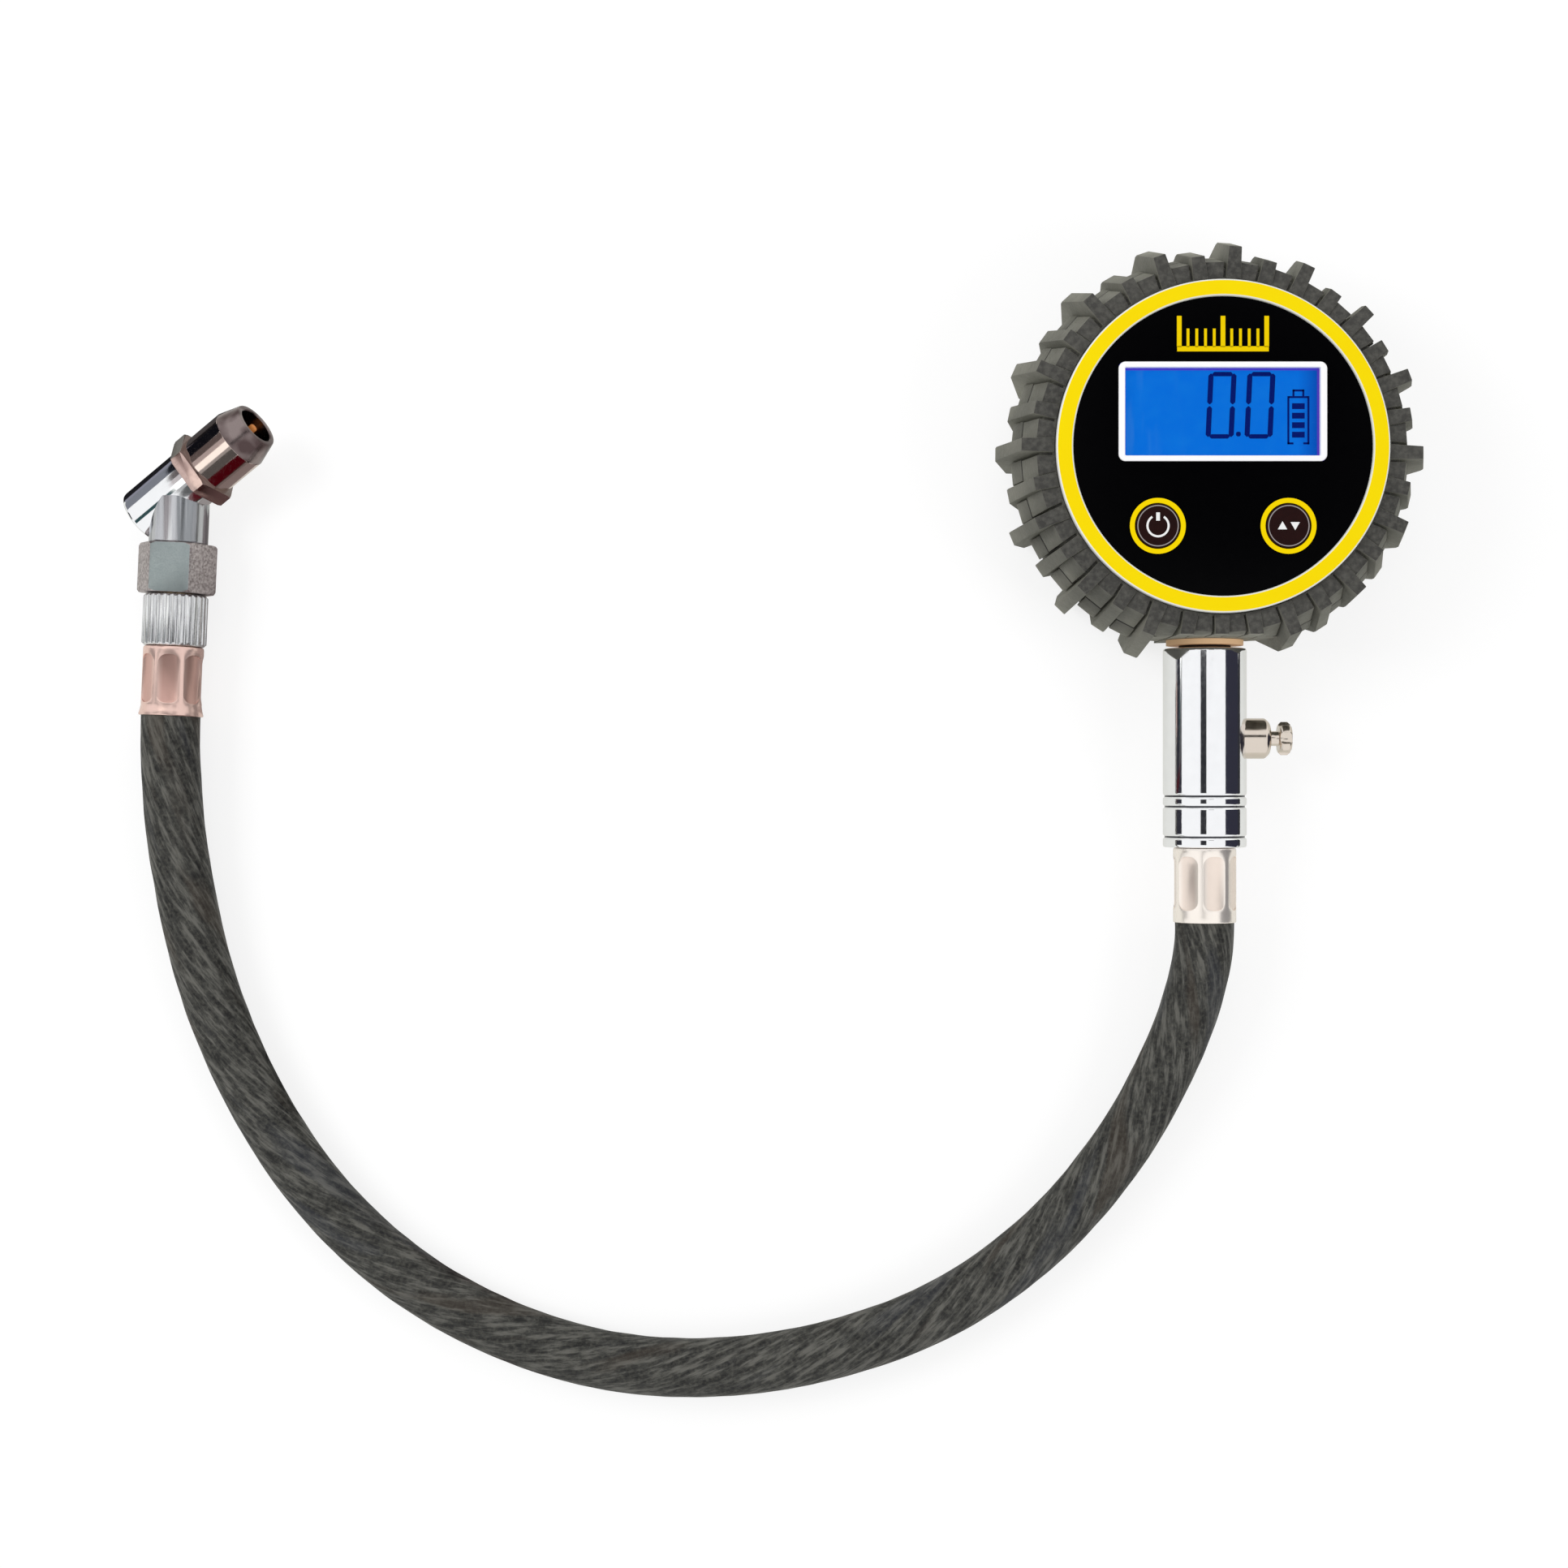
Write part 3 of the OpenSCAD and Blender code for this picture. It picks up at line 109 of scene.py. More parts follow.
def deselectAll():
    if bpy.context.mode != "OBJECT":
        bpy.ops.object.mode_set(mode="OBJECT")
    bpy.ops.object.select_all(action="DESELECT")


def selectOnly(piece):
    deselectAll()
    piece.select_set(True)
    bpy.context.view_layer.objects.active = piece


def editPiece(piece):
    selectOnly(piece)
    bpy.ops.object.mode_set(mode="EDIT")
    bpy.ops.mesh.select_mode(type="FACE")
    bpy.ops.mesh.select_all(action="SELECT")


def supportRings(rings, closed, longStep=1.2, inset=0.22):
    # a ring close to each end of a long step keeps the shading clean; mm
    dense = []
    for (radius, height), (nextRadius, nextHeight) in zip(rings, rings[1:] + (rings[:1] if closed else [])):
        dense.append((radius, height))
        length = math.hypot(nextRadius - radius, nextHeight - height)
        if length > longStep:
            dense += [(radius + (nextRadius - radius) * share, height + (nextHeight - height) * share)
                      for share in (inset / length, 1 - inset / length)]
    return dense if closed else dense + rings[-1:]


def turnPiece(name, rings, sides=96, closed=False):
    # rings are (radius, height) in mm. A closed one comes back to its first ring, as a tube does
    deselectAll()
    rings = supportRings(rings, closed)
    radius, height = rings[0]
    bpy.ops.mesh.primitive_circle_add(vertices=sides, radius=radius * mm, location=(0, 0, height * mm),
                                      fill_type="NOTHING" if closed else "NGON")
    piece = bpy.context.object
    piece.name = name
    bpy.ops.object.mode_set(mode="EDIT")
    bpy.ops.mesh.select_mode(type="VERT")
    bpy.ops.mesh.select_all(action="SELECT")
    for nextRadius, nextHeight in rings[1:] + (rings[:1] if closed else []):
        bpy.ops.mesh.extrude_region_move(
            TRANSFORM_OT_translate={"value": (0, 0, (nextHeight - height) * mm)})
        share = nextRadius / radius
        bpy.ops.transform.resize(value=(share, share, 1), center_override=(0, 0, nextHeight * mm))
        radius, height = nextRadius, nextHeight
    bpy.ops.mesh.select_all(action="SELECT")
    bpy.ops.mesh.remove_doubles(threshold=0.01 * mm)
    bpy.ops.mesh.normals_make_consistent(inside=False)
    bpy.ops.object.mode_set(mode="OBJECT")
    bpy.ops.object.transform_apply()
    return piece


def blockPiece(name, low, high):      # corners in mm
    deselectAll()
    centre = [(a + b) / 2 * mm for a, b in zip(low, high)]
    size = [(b - a) * mm for a, b in zip(low, high)]
    bpy.ops.mesh.primitive_cube_add(size=1, location=centre, scale=size)
    piece = bpy.context.object
    piece.name = name
    bpy.ops.object.transform_apply()
    return piece


def bevelAlong(piece, axis, width, segments=1):      # only the edges of a block that run along one axis
    editPiece(piece)
    bpy.ops.mesh.select_mode(type="EDGE")
    bpy.ops.mesh.select_all(action="DESELECT")
    mesh = bmesh.from_edit_mesh(piece.data)
    for edge in mesh.edges:
        if abs(edge.verts[0].co[axis] - edge.verts[1].co[axis]) > 0.01 * mm:
            edge.select_set(True)
    bmesh.update_edit_mesh(piece.data)
    bpy.ops.mesh.bevel(offset=width * mm, segments=segments, affect="EDGES")
    bpy.ops.object.mode_set(mode="OBJECT")


def applyModifier(piece, kind, **settings):
    selectOnly(piece)
    modifier = piece.modifiers.new(kind.lower(), kind)
    for name, value in settings.items():
        setattr(modifier, name, value)
    bpy.ops.object.modifier_apply(modifier=modifier.name)


def softBevel(piece, width, segments=2, angle=35):
    applyModifier(piece, "BEVEL", width=width * mm, segments=segments,
                  limit_method="ANGLE", angle_limit=math.radians(angle), use_clamp_overlap=True)


def cutPiece(piece, cuts):      # cuts are (point in mm, direction of the part that goes)
    editPiece(piece)
    for point, away in cuts:
        bpy.ops.mesh.select_all(action="SELECT")
        bpy.ops.mesh.bisect(plane_co=Vector(point) * mm, plane_no=Vector(away).normalized(),
                            use_fill=True, clear_outer=True)
    bpy.ops.object.mode_set(mode="OBJECT")


def copyPiece(piece, turn):
    twin = piece.copy()
    twin.data = piece.data.copy()
    bpy.context.scene.collection.objects.link(twin)
    twin.data.transform(turn)
    return twin


def joinPieces(name, pieces):
    deselectAll()
    for piece in pieces:
        piece.select_set(True)
    bpy.context.view_layer.objects.active = pieces[0]
    if len(pieces) > 1:
        bpy.ops.object.join()
    joined = bpy.context.object
    joined.name = name
    return joined


def removePiece(piece):
    mesh = piece.data
    bpy.data.objects.remove(piece)
    bpy.data.meshes.remove(mesh)


def copyNode(name, newName):      # a merged copy of a node, ready for a bevel
    node = frame["nodes"][name]
    piece = bpy.data.objects.new(newName, node.data.copy())
    bpy.context.scene.collection.objects.link(piece)
    piece.data.materials.clear()
    editPiece(piece)
    bpy.ops.mesh.remove_doubles(threshold=0.005 * mm)
    bpy.ops.mesh.dissolve_limited(angle_limit=math.radians(0.5))
    bpy.ops.object.mode_set(mode="OBJECT")
    return piece


def putPiece(piece, place):
    selectOnly(piece)
    piece.matrix_world = place @ piece.matrix_world
    bpy.ops.object.transform_apply()
    return piece


def finishPiece(piece, material, body, replaced=(), smooth=35):
    selectOnly(piece)
    if material:
        piece.data.materials.clear()
        piece.data.materials.append(material)
    if smooth:
        bpy.ops.object.shade_smooth_by_angle(angle=math.radians(smooth))
    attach(piece, body)
    if replaced:
        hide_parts(*replaced)
    return piece


def roundedNode(node, name, width, material, body, angle=35, smooth=35):      # a node with softened edges
    piece = copyNode(node, name)
    softBevel(piece, width, angle=angle)
    finishPiece(piece, material, body, (node,), smooth=smooth)


# material helpers

def srgb(red, green, blue):
    return tuple(c / 255 / 12.92 if c < 11 else ((c / 255 + 0.055) / 1.055) ** 2.4
                 for c in (red, green, blue))


def plug(material, value, socket):
    if isinstance(value, bpy.types.NodeSocket):
        material.node_tree.links.new(value, socket)
    elif isinstance(value, tuple) and len(value) == 3 and socket.type == "RGBA":
        socket.default_value = (*value, 1)
    else:
        socket.default_value = value


def addNode(material, kind, inputs=None, **settings):
    node = material.node_tree.nodes.new("ShaderNode" + kind)
    for name, value in settings.items():
        setattr(node, name, value)
    for name, value in (inputs or {}).items():
        plug(material, value, node.inputs[name])
    return node


def shaderOf(material):
    return material.node_tree.nodes["Principled BSDF"]


def newMaterial(name, colour, roughness, metallic=0.0, **sockets):
    material = bpy.data.materials.new(name)
    material.use_nodes = True
    values = {"Base Color": colour, "Roughness": roughness, "Metallic": metallic}
    values.update({key.replace("_", " "): value for key, value in sockets.items()})
    for socket, value in values.items():
        plug(material, value, shaderOf(material).inputs[socket])
    return material


def objectPoints(material, stretch=(1, 1, 1)):
    coords = addNode(material, "TexCoord").outputs["Object"]
    return addNode(material, "Mapping", {"Vector": coords, "Scale": stretch}).outputs[0]


def normalOf(material):
    return addNode(material, "TexCoord").outputs["Normal"]


def partsOf(material, vector):      # its x, y and z
    return addNode(material, "SeparateXYZ", {"Vector": vector}).outputs


def noiseOn(material, points, scale, detail=3, rough=0.5):
    return addNode(material, "TexNoise", {"Vector": points, "Scale": scale, "Detail": detail,
                                          "Roughness": rough}).outputs[0]


def rampOn(material, factor, *stops):      # stops are (place, grey or colour)
    ramp = addNode(material, "ValToRGB", {"Fac": factor})
    elements = ramp.color_ramp.elements
    while len(elements) < len(stops):
        elements.new(0.5)
    for element, (place, value) in zip(elements, stops):
        element.position = place
        element.color = (*value, 1) if isinstance(value, tuple) else (value, value, value, 1)
    return ramp.outputs[0]


def mixColours(material, factor, first, second):
    node = addNode(material, "Mix", data_type="RGBA")
    plug(material, factor, node.inputs[0])
    plug(material, first, node.inputs[6])
    plug(material, second, node.inputs[7])
    return node.outputs[2]


def calc(material, operation, first, second=0.0):
    node = addNode(material, "Math", operation=operation)
    plug(material, first, node.inputs[0])
    plug(material, second, node.inputs[1])
    return node.outputs[0]


def vectorCalc(material, operation, first, second=(0, 0, 0)):
    node = addNode(material, "VectorMath", {0: first, 1: second}, operation=operation)
    return node.outputs["Value" if operation in ("LENGTH", "DOT_PRODUCT") else "Vector"]


def mapValue(material, value, fromLow, fromHigh, toLow, toHigh):
    return addNode(material, "MapRange", {"Value": value, "From Min": fromLow, "From Max": fromHigh,
                                          "To Min": toLow, "To Max": toHigh}).outputs[0]


def addBump(material, height, strength, distance):
    bump = addNode(material, "Bump", {"Height": height, "Strength": strength, "Distance": distance * mm})
    plug(material, bump.outputs[0], shaderOf(material).inputs["Normal"])


def setColour(material, colour):
    plug(material, colour, shaderOf(material).inputs["Base Color"])


def setRoughness(material, roughness):
    plug(material, roughness, shaderOf(material).inputs["Roughness"])


def mottle(material, scale, first, second, detail=3):      # two near colours in soft patches
    patches = noiseOn(material, objectPoints(material), scale, detail)
    setColour(material, mixColours(material, patches, first, second))


def unevenRoughness(material, scale, low, high):
    patches = noiseOn(material, objectPoints(material), scale)
    setRoughness(material, mapValue(material, patches, 0.3, 0.7, low, high))


def grainBump(material, scale, detail, strength, distance):
    addBump(material, noiseOn(material, objectPoints(material), scale, detail), strength, distance)


def distanceFrom(material, x, y):      # distance from an upright line at x, y, in metres
    apart = partsOf(material, objectPoints(material))
    flat = addNode(material, "CombineXYZ", {0: calc(material, "SUBTRACT", apart[0], x * mm),
                                            1: calc(material, "SUBTRACT", apart[1], y * mm)})
    return vectorCalc(material, "LENGTH", flat.outputs[0])


# materials

def tyreRubber():      # matt in front, with painted light on the tread faces that look sideways, as if lit from the side, and a pale bloom where it is seen edge on
    material = newMaterial("tyreRubber", srgb(58, 57, 54), 0.62, Specular_IOR_Level=0.42, Sheen_Weight=0.22,
                           Sheen_Roughness=0.45, Sheen_Tint=srgb(250, 250, 225))
    points = objectPoints(material)
    wide = noiseOn(material, points, 70, 3)
    fine = noiseOn(material, points, 900, 4, 0.6)
    body = mixColours(material, rampOn(material, wide, (0.3, 0.0), (0.7, 1.0)),
                      srgb(46, 45, 43), srgb(60, 59, 56))
    body = mixColours(material, mapValue(material, fine, 0.4, 0.72, 0.0, 0.8), body, srgb(92, 91, 86))
    # painted light: faces that look sideways take a lighter, mottled colour
    tread = mapValue(material, partsOf(material, normalOf(material))[2], 0.7, 0.4, 0, 1)
    paintedSideLight = mixColours(material, mapValue(material, wide, 0.35, 0.65, 0, 1),
                         srgb(82, 82, 76), srgb(109, 108, 100))
    setColour(material, mixColours(material, tread, body, paintedSideLight))
    setRoughness(material, mapValue(material, fine, 0.3, 0.7, 0.55, 0.72))
    grainBump(material, 1500, 4, 0.6, 0.14)
    return material


def mouldedPlastic(name, colour, grain=3200, roughness=0.55):
    material = newMaterial(name, colour, roughness)
    cells = addNode(material, "TexVoronoi", {"Vector": objectPoints(material), "Scale": grain}).outputs[0]
    unevenRoughness(material, 300, roughness - 0.07, roughness + 0.07)
    addBump(material, cells, 0.25, 0.03)
    return material


def bezelYellow(inner, outer, highlightWidth=0.32):      # yellow between two painted highlights, pale lines along its inner and outer rims, mm
    material = newMaterial("bezelYellow", srgb(255, 221, 0), 0.38, Specular_IOR_Level=0.1)
    radius = distanceFrom(material, 0, 0)
    patches = mapValue(material, noiseOn(material, objectPoints(material), 90), 0.3, 0.7, 0, 1)
    body = mixColours(material, patches, srgb(255, 223, 0), srgb(255, 228, 0))
    # painted highlights: a pale line along each rim of the ring
    insideHighlight = calc(material, "LESS_THAN", radius, (inner + highlightWidth) * mm)
    outsideHighlight = calc(material, "GREATER_THAN", radius, (outer - highlightWidth) * mm)
    highlighted = mixColours(material, insideHighlight, body, srgb(240, 240, 228))
    setColour(material, mixColours(material, outsideHighlight, highlighted, srgb(244, 244, 238)))
    grainBump(material, 1400, 2, 0.06, 0.03)
    return material


def ringYellow(name, gap=4.82, edge=5.95):      # yellow between two radii in mm, dark inside and outside them
    material = newMaterial("ringYellow", srgb(255, 228, 0), 0.4, Specular_IOR_Level=0.05)
    shadow = srgb(2, 2, 3)
    radius = distanceFrom(material, nodeCentre(name).x / mm, nodeCentre(name).y / mm)
    body = mixColours(material, noiseOn(material, objectPoints(material), 300),
                      srgb(255, 219, 0), srgb(255, 225, 0))
    body = mixColours(material, calc(material, "LESS_THAN", radius, gap * mm), body, shadow)
    setColour(material, mixColours(material, calc(material, "GREATER_THAN", radius, edge * mm), body, shadow))
    grainBump(material, 1800, 2, 0.06, 0.02)
    return material


def dialBlack():
    material = newMaterial("dialBlack", srgb(2, 2, 3), 0.16, Specular_IOR_Level=0.06)
    mottle(material, 500, srgb(1, 1, 2), srgb(3, 3, 4))
    return material


def frameWhite():
    # painted light: a faint white glow keeps the frame bright
    material = newMaterial("frameWhite", srgb(252, 252, 254), 0.35, Emission_Color=srgb(255, 255, 255),
                           Emission_Strength=0.07)
    mottle(material, 200, srgb(250, 250, 253), srgb(255, 255, 255))
    grainBump(material, 1500, 2, 0.05, 0.02)
    return material


def windowClear():
    material = newMaterial("windowClear", srgb(20, 30, 60), 0.06, Alpha=0.03, Specular_IOR_Level=0.1)
    unevenRoughness(material, 200, 0.04, 0.09)
    return material


def displayBlue(centre, size, glow=0.72):
    # backlit glass, violet at its upper and left edges, darker at the right; mm
    material = newMaterial("displayBlue", srgb(0, 112, 222), 0.35, Specular_IOR_Level=0.08)
    points = objectPoints(material)
    x, y = partsOf(material, points)[:2]
    left, right = (centre[0] - size[0] / 2) * mm, (centre[0] + size[0] / 2) * mm
    top = (centre[1] + size[1] / 2) * mm
    patches = mapValue(material, noiseOn(material, points, 260, 2), 0.4, 0.75, 0, 0.35)
    body = mixColours(material, patches, srgb(0, 112, 224), srgb(14, 126, 226))
    bands = noiseOn(material, objectPoints(material, stretch=(1, 0.12, 1)), 420, 2)
    ghostZone = mapValue(material, x, left + 2 * mm, left + 14 * mm, 1, 0)
    ghosts = calc(material, "MULTIPLY", mapValue(material, bands, 0.5, 0.65, 0, 0.4), ghostZone)
    darkZone = mapValue(material, x, right - 4.5 * mm, right, 0, 0.85)
    for share, colour in ((ghosts, srgb(52, 130, 222)), (darkZone, srgb(0, 70, 175)),
                          (calc(material, "GREATER_THAN", y, top - 0.42 * mm), srgb(74, 62, 206)),
                          (calc(material, "LESS_THAN", x, left + 0.35 * mm), srgb(60, 70, 210)),
                          (calc(material, "GREATER_THAN", x, right - 0.4 * mm), srgb(86, 60, 190))):
        body = mixColours(material, share, body, colour)
    setColour(material, mixColours(material, 1 - glow, srgb(0, 0, 0), body))
    plug(material, body, shaderOf(material).inputs["Emission Color"])
    plug(material, glow, shaderOf(material).inputs["Emission Strength"])
    return material


def inkOf(name, colour, roughness=0.5, shade=0.93, glow=0.0):
    material = newMaterial(name, colour, roughness, Specular_IOR_Level=0.05, Emission_Color=colour,
                           Emission_Strength=glow)
    mottle(material, 1500, tuple(c * shade for c in colour), colour, detail=2)
    return material


def buttonBrown():
    material = newMaterial("buttonBrown", srgb(26, 13, 13), 0.5, Specular_IOR_Level=0.1)
    mottle(material, 700, srgb(22, 5, 5), srgb(36, 11, 10))
    grainBump(material, 3000, 2, 0.2, 0.03)
    return material


def polishedMetal(name, colour, roughness, wave=0.04, grain=350, shade=0.93):
    material = newMaterial(name, colour, roughness, 1.0)
    points = objectPoints(material)
    soft = noiseOn(material, points, grain, 3)
    setColour(material, mixColours(material, soft, tuple(c * shade for c in colour), colour))
    setRoughness(material, mapValue(material, noiseOn(material, points, grain * 3, 4), 0.3, 0.7,
                                    roughness * 0.7, roughness * 1.4))
    addBump(material, soft, wave, 0.08)
    return material


def brushedMetal(name, colour, roughness, grain, depth, shade=0.78, bands=0.0, along=0.03):
    # streaks run along the y axis; bands are wide dark ones, 0 to 1
    material = newMaterial(name, colour, roughness, 1.0)
    points = objectPoints(material, stretch=(1, along, 1))
    streaks = noiseOn(material, points, grain, 4, 0.65)
    body = mixColours(material, mapValue(material, streaks, 0.3, 0.7, 0, 1),
                      tuple(c * shade for c in colour), colour)
    wide = mapValue(material, noiseOn(material, points, 430, 2), 0.47, 0.39, 0, bands)
    setColour(material, mixColours(material, wide, body, (0.05, 0.07, 0.08)))
    setRoughness(material, mapValue(material, streaks, 0.3, 0.7, roughness * 0.75, roughness * 1.3))
    addBump(material, streaks, depth, 0.05)
    return material


def nutZinc():      # smooth on its upper flat, rough and pinkish on its sides
    material = polishedMetal("nutZinc", (0.34, 0.385, 0.39), 0.42, wave=0.3, grain=1100)
    points = objectPoints(material)
    rough = noiseOn(material, points, 1500, 4, 0.65)
    front = mixColours(material, noiseOn(material, points, 500), (0.31, 0.36, 0.365), (0.37, 0.415, 0.42))
    sides = mixColours(material, mapValue(material, rough, 0.36, 0.64, 0, 1),
                       (0.26, 0.225, 0.225), (0.6, 0.55, 0.55))
    upper = mapValue(material, partsOf(material, normalOf(material))[2], 0.9, 0.94, 0, 1)
    setColour(material, mixColours(material, upper, sides, front))
    return material


def hexRose():      # painted reflection and shade: each flat of the hexagon gets its own colour and metalness from the way it faces
    material = polishedMetal("hexRose", (0.6, 0.4, 0.355), 0.2)
    normal = normalOf(material)
    # painted shade: faces that look towards the nose are darker
    ahead = mapValue(material, vectorCalc(material, "DOT_PRODUCT", normal, headDir), 0.5, 0.75, 0, 1)
    aside = vectorCalc(material, "DOT_PRODUCT", normal, (0.582, -0.813, 0))      # level, to the head's right
    turned = mapValue(material, aside, -1, 1, 0, 1)
    flats = rampOn(material, turned, (0.08, (0.2, 0.19, 0.17)), (0.3, (0.62, 0.45, 0.41)),
                   (0.56, (0.58, 0.43, 0.39)), (0.72, (0.3, 0.18, 0.17)))
    setColour(material, mixColours(material, ahead, flats, (0.16, 0.11, 0.1)))
    plug(material, mapValue(material, turned, 0.12, 0.25, 0, 1), shaderOf(material).inputs["Metallic"])
    return material


def coneGunmetal():
    material = polishedMetal("coneGunmetal", (0.18, 0.14, 0.137), 0.2)
    clouds = noiseOn(material, objectPoints(material), 190, 2)
    setColour(material, mixColours(material, mapValue(material, clouds, 0.38, 0.62, 0, 1),
                                   (0.09, 0.062, 0.062), (0.27, 0.22, 0.215)))
    return material


def crimpedMetal(name, place, ridge, depth, ridgeHighlight, flatColour, roughness=0.26):
    # the jaws leave flats between ridges; the ridges carry a painted highlight, a pale colour, and the flats
    # stay duller. ridge is the radius of those, mm
    material = newMaterial(name, flatColour, roughness, 0.7)
    away = vectorCalc(material, "SUBTRACT", objectPoints(material), place.translation)
    radius = vectorCalc(material, "LENGTH", vectorCalc(material, "CROSS_PRODUCT", away, place.col[2].to_3d()))
    # painted highlight: the outermost ridge surface takes the pale colour
    ridgeLit = mapValue(material, radius, (ridge - depth * 0.75) * mm, (ridge - 0.02) * mm, 0, 1)
    soft = mixColours(material, noiseOn(material, objectPoints(material), 260), flatColour,
                      tuple(c * 1.12 for c in flatColour))
    setColour(material, mixColours(material, ridgeLit, soft, ridgeHighlight))
    return material


def softRubber(name, colour=(0.012, 0.012, 0.012)):
    material = newMaterial(name, colour, 0.75)
    grainBump(material, 2500, 3, 0.2, 0.03)
    unevenRoughness(material, 600, 0.65, 0.85)
    return material


def solderResist():
    material = newMaterial("solderResist", srgb(18, 92, 44), 0.35)
    points = objectPoints(material)
    tracks = addNode(material, "TexBrick", {"Vector": points, "Scale": 260, "Mortar Size": 0.035})
    setColour(material, mixColours(material, tracks.outputs["Fac"], srgb(14, 84, 40), srgb(40, 122, 62)))
    addBump(material, tracks.outputs["Fac"], 0.3, 0.03)
    return material


def cellSleeve(half=21.5):      # a printed band on each battery cell, bare metal past half its length, mm
    material = newMaterial("cellSleeve", srgb(40, 44, 50), 0.35, 0.2)
    along = partsOf(material, objectPoints(material))[0]
    band = calc(material, "LESS_THAN", calc(material, "ABSOLUTE", along), half * mm)
    printed = mixColours(material, noiseOn(material, objectPoints(material), 300),
                         srgb(34, 38, 44), srgb(52, 56, 62))
    setColour(material, mixColours(material, band, srgb(190, 190, 188), printed))
    return material


def wireColours(name, axis, low, middle, high, split=1):      # coloured by their place across the row, mm
    material = newMaterial(name, middle, 0.45)
    across = partsOf(material, objectPoints(material))[axis]
    lower = mixColours(material, calc(material, "LESS_THAN", across, -split * mm), middle, low)
    setColour(material, mixColours(material, calc(material, "GREATER_THAN", across, split * mm), lower, high))
    grainBump(material, 2000, 2, 0.1, 0.02)
    return material


def hoseCloth():      # rubber that keeps the print of its wrapping cloth, in long slanting streaks
    material = newMaterial("hoseCloth", srgb(60, 60, 58), 0.62, Specular_IOR_Level=0.4)
    wrap = addNode(material, "Attribute", attribute_name="wrap").outputs["Vector"]
    streaks = noiseOn(material, wrap, 0.8, 5, 0.64)
    tint = noiseOn(material, wrap, 0.11, 2)
    body = rampOn(material, streaks, (0.38, srgb(18, 18, 17)), (0.5, srgb(50, 50, 47)),
                  (0.63, srgb(96, 95, 90)))
    speckle = noiseOn(material, objectPoints(material), 1100, 4, 0.6)
    body = mixColours(material, mapValue(material, speckle, 0.45, 0.7, 0, 0.45), body, srgb(96, 95, 88))
    warm = mixColours(material, 0.5, body, srgb(66, 56, 46))
    cool = mixColours(material, 0.35, body, srgb(58, 62, 72))
    body = mixColours(material, mapValue(material, tint, 0.42, 0.36, 0, 0.7), body, warm)
    setColour(material, mixColours(material, mapValue(material, tint, 0.56, 0.64, 0, 0.7), body, cool))
    setRoughness(material, mapValue(material, streaks, 0.3, 0.7, 0.72, 0.5))
    addBump(material, streaks, 0.6, 0.25)
    return material


tyreRubberMat = tyreRubber()
blackPlasticMat = mouldedPlastic("blackPlastic", srgb(38, 38, 40))
whitePlasticMat = mouldedPlastic("whitePlastic", srgb(225, 225, 220))
dialBlackMat = dialBlack()
frameWhiteMat = frameWhite()
windowClearMat = windowClear()
buttonBrownMat = buttonBrown()
chromeMat = polishedMetal("chrome", (0.94, 0.95, 0.97), 0.07, wave=0.07)
satinChromeMat = brushedMetal("satinChrome", (0.6, 0.61, 0.64), 0.2, grain=2600, depth=0.05, bands=0.5)
nutZincMat = nutZinc()
collarSilverMat = brushedMetal("collarSilver", (0.92, 0.93, 0.95), 0.24, grain=3600, depth=0.35, shade=0.5)
warmNickelMat = polishedMetal("warmNickel", (0.74, 0.66, 0.58), 0.14)
noseNickelMat = polishedMetal("noseNickel", (0.72, 0.6, 0.55), 0.1)
coneGunmetalMat = coneGunmetal()
hexRoseMat = hexRose()
grooveShadeMat = polishedMetal("grooveShade", (0.1, 0.1, 0.11), 0.3)
# painted light: a faint glow brightens the flange in the shade under the boot
flangeCopperMat = inkOf("flangeCopper", (1.0, 0.66, 0.38), roughness=0.4, glow=0.1)
brassMat = polishedMetal("brass", (0.72, 0.52, 0.28), 0.25)
# painted light: a faint glow shows the pin in the shade of the chuck's mouth
pinBrassMat = inkOf("pinBrass", (0.6, 0.22, 0.06), roughness=0.4, glow=0.15)
steelMat = polishedMetal("steel", (0.5, 0.5, 0.5), 0.3)
sealRubberMat = softRubber("sealRubber")
inkWhiteMat = inkOf("inkWhite", srgb(250, 250, 250))
inkGreyMat = inkOf("inkGrey", srgb(160, 154, 154))
inkYellowMat = inkOf("inkYellow", srgb(250, 214, 0))
inkNavyMat = inkOf("inkNavy", srgb(4, 26, 112), roughness=0.7)
hoseClothMat = hoseCloth()
print("materials ready")


# the hose

hose = {
    "diameter": 13,      # mm
    "sides": 56,
    "step": 1.4,         # mm between rings
    "tuck": 1.2,         # mm that each end reaches into its ferrule
    "twist": -3.4,       # degrees that the wrapping turns in a millimetre
    "stretch": 0.2,      # width of the strands' pattern against its length
    "relief": 0.09,      # mm
}
hoseRoute = [      # its middle line from ferrule to ferrule, mm
    (-1.5, -116, 12.8), (-7, -133, 9.8), (-18, -153.5, 7.6), (-34.5, -173.2, 6.6),
    (-55.8, -188.8, 6.5), (-80, -198.4, 6.5), (-106, -202.9, 6.5), (-132.2, -201.7, 6.5),
    (-157.5, -194, 6.5), (-180.2, -180.8, 6.5), (-199, -162.5, 6.5), (-213.2, -140.5, 6.5),
    (-223.2, -116.2, 6.7), (-228.7, -90.5, 8), (-230.3, -73, 9.5),
]


def curveThrough(points, startDir, endDir, step):      # Catmull-Rom curve, sampled evenly enough
    ends = [points[1] - 2 * startDir * (points[1] - points[0]).length]
    ends.append(points[-2] + 2 * endDir * (points[-1] - points[-2]).length)
    ring = [ends[0]] + points + [ends[1]]
    samples = []
    for before, start, end, after in zip(ring, ring[1:], ring[2:], ring[3:]):
        count = max(1, round((end - start).length / step))
        for k in range(count):
            t = k / count
            samples.append(0.5 * (2 * start + (end - before) * t
                                  + (2 * before - 5 * start + 4 * end - after) * t * t
                                  + (3 * start - before - 3 * end + after) * t ** 3))
    return samples + [points[-1]]


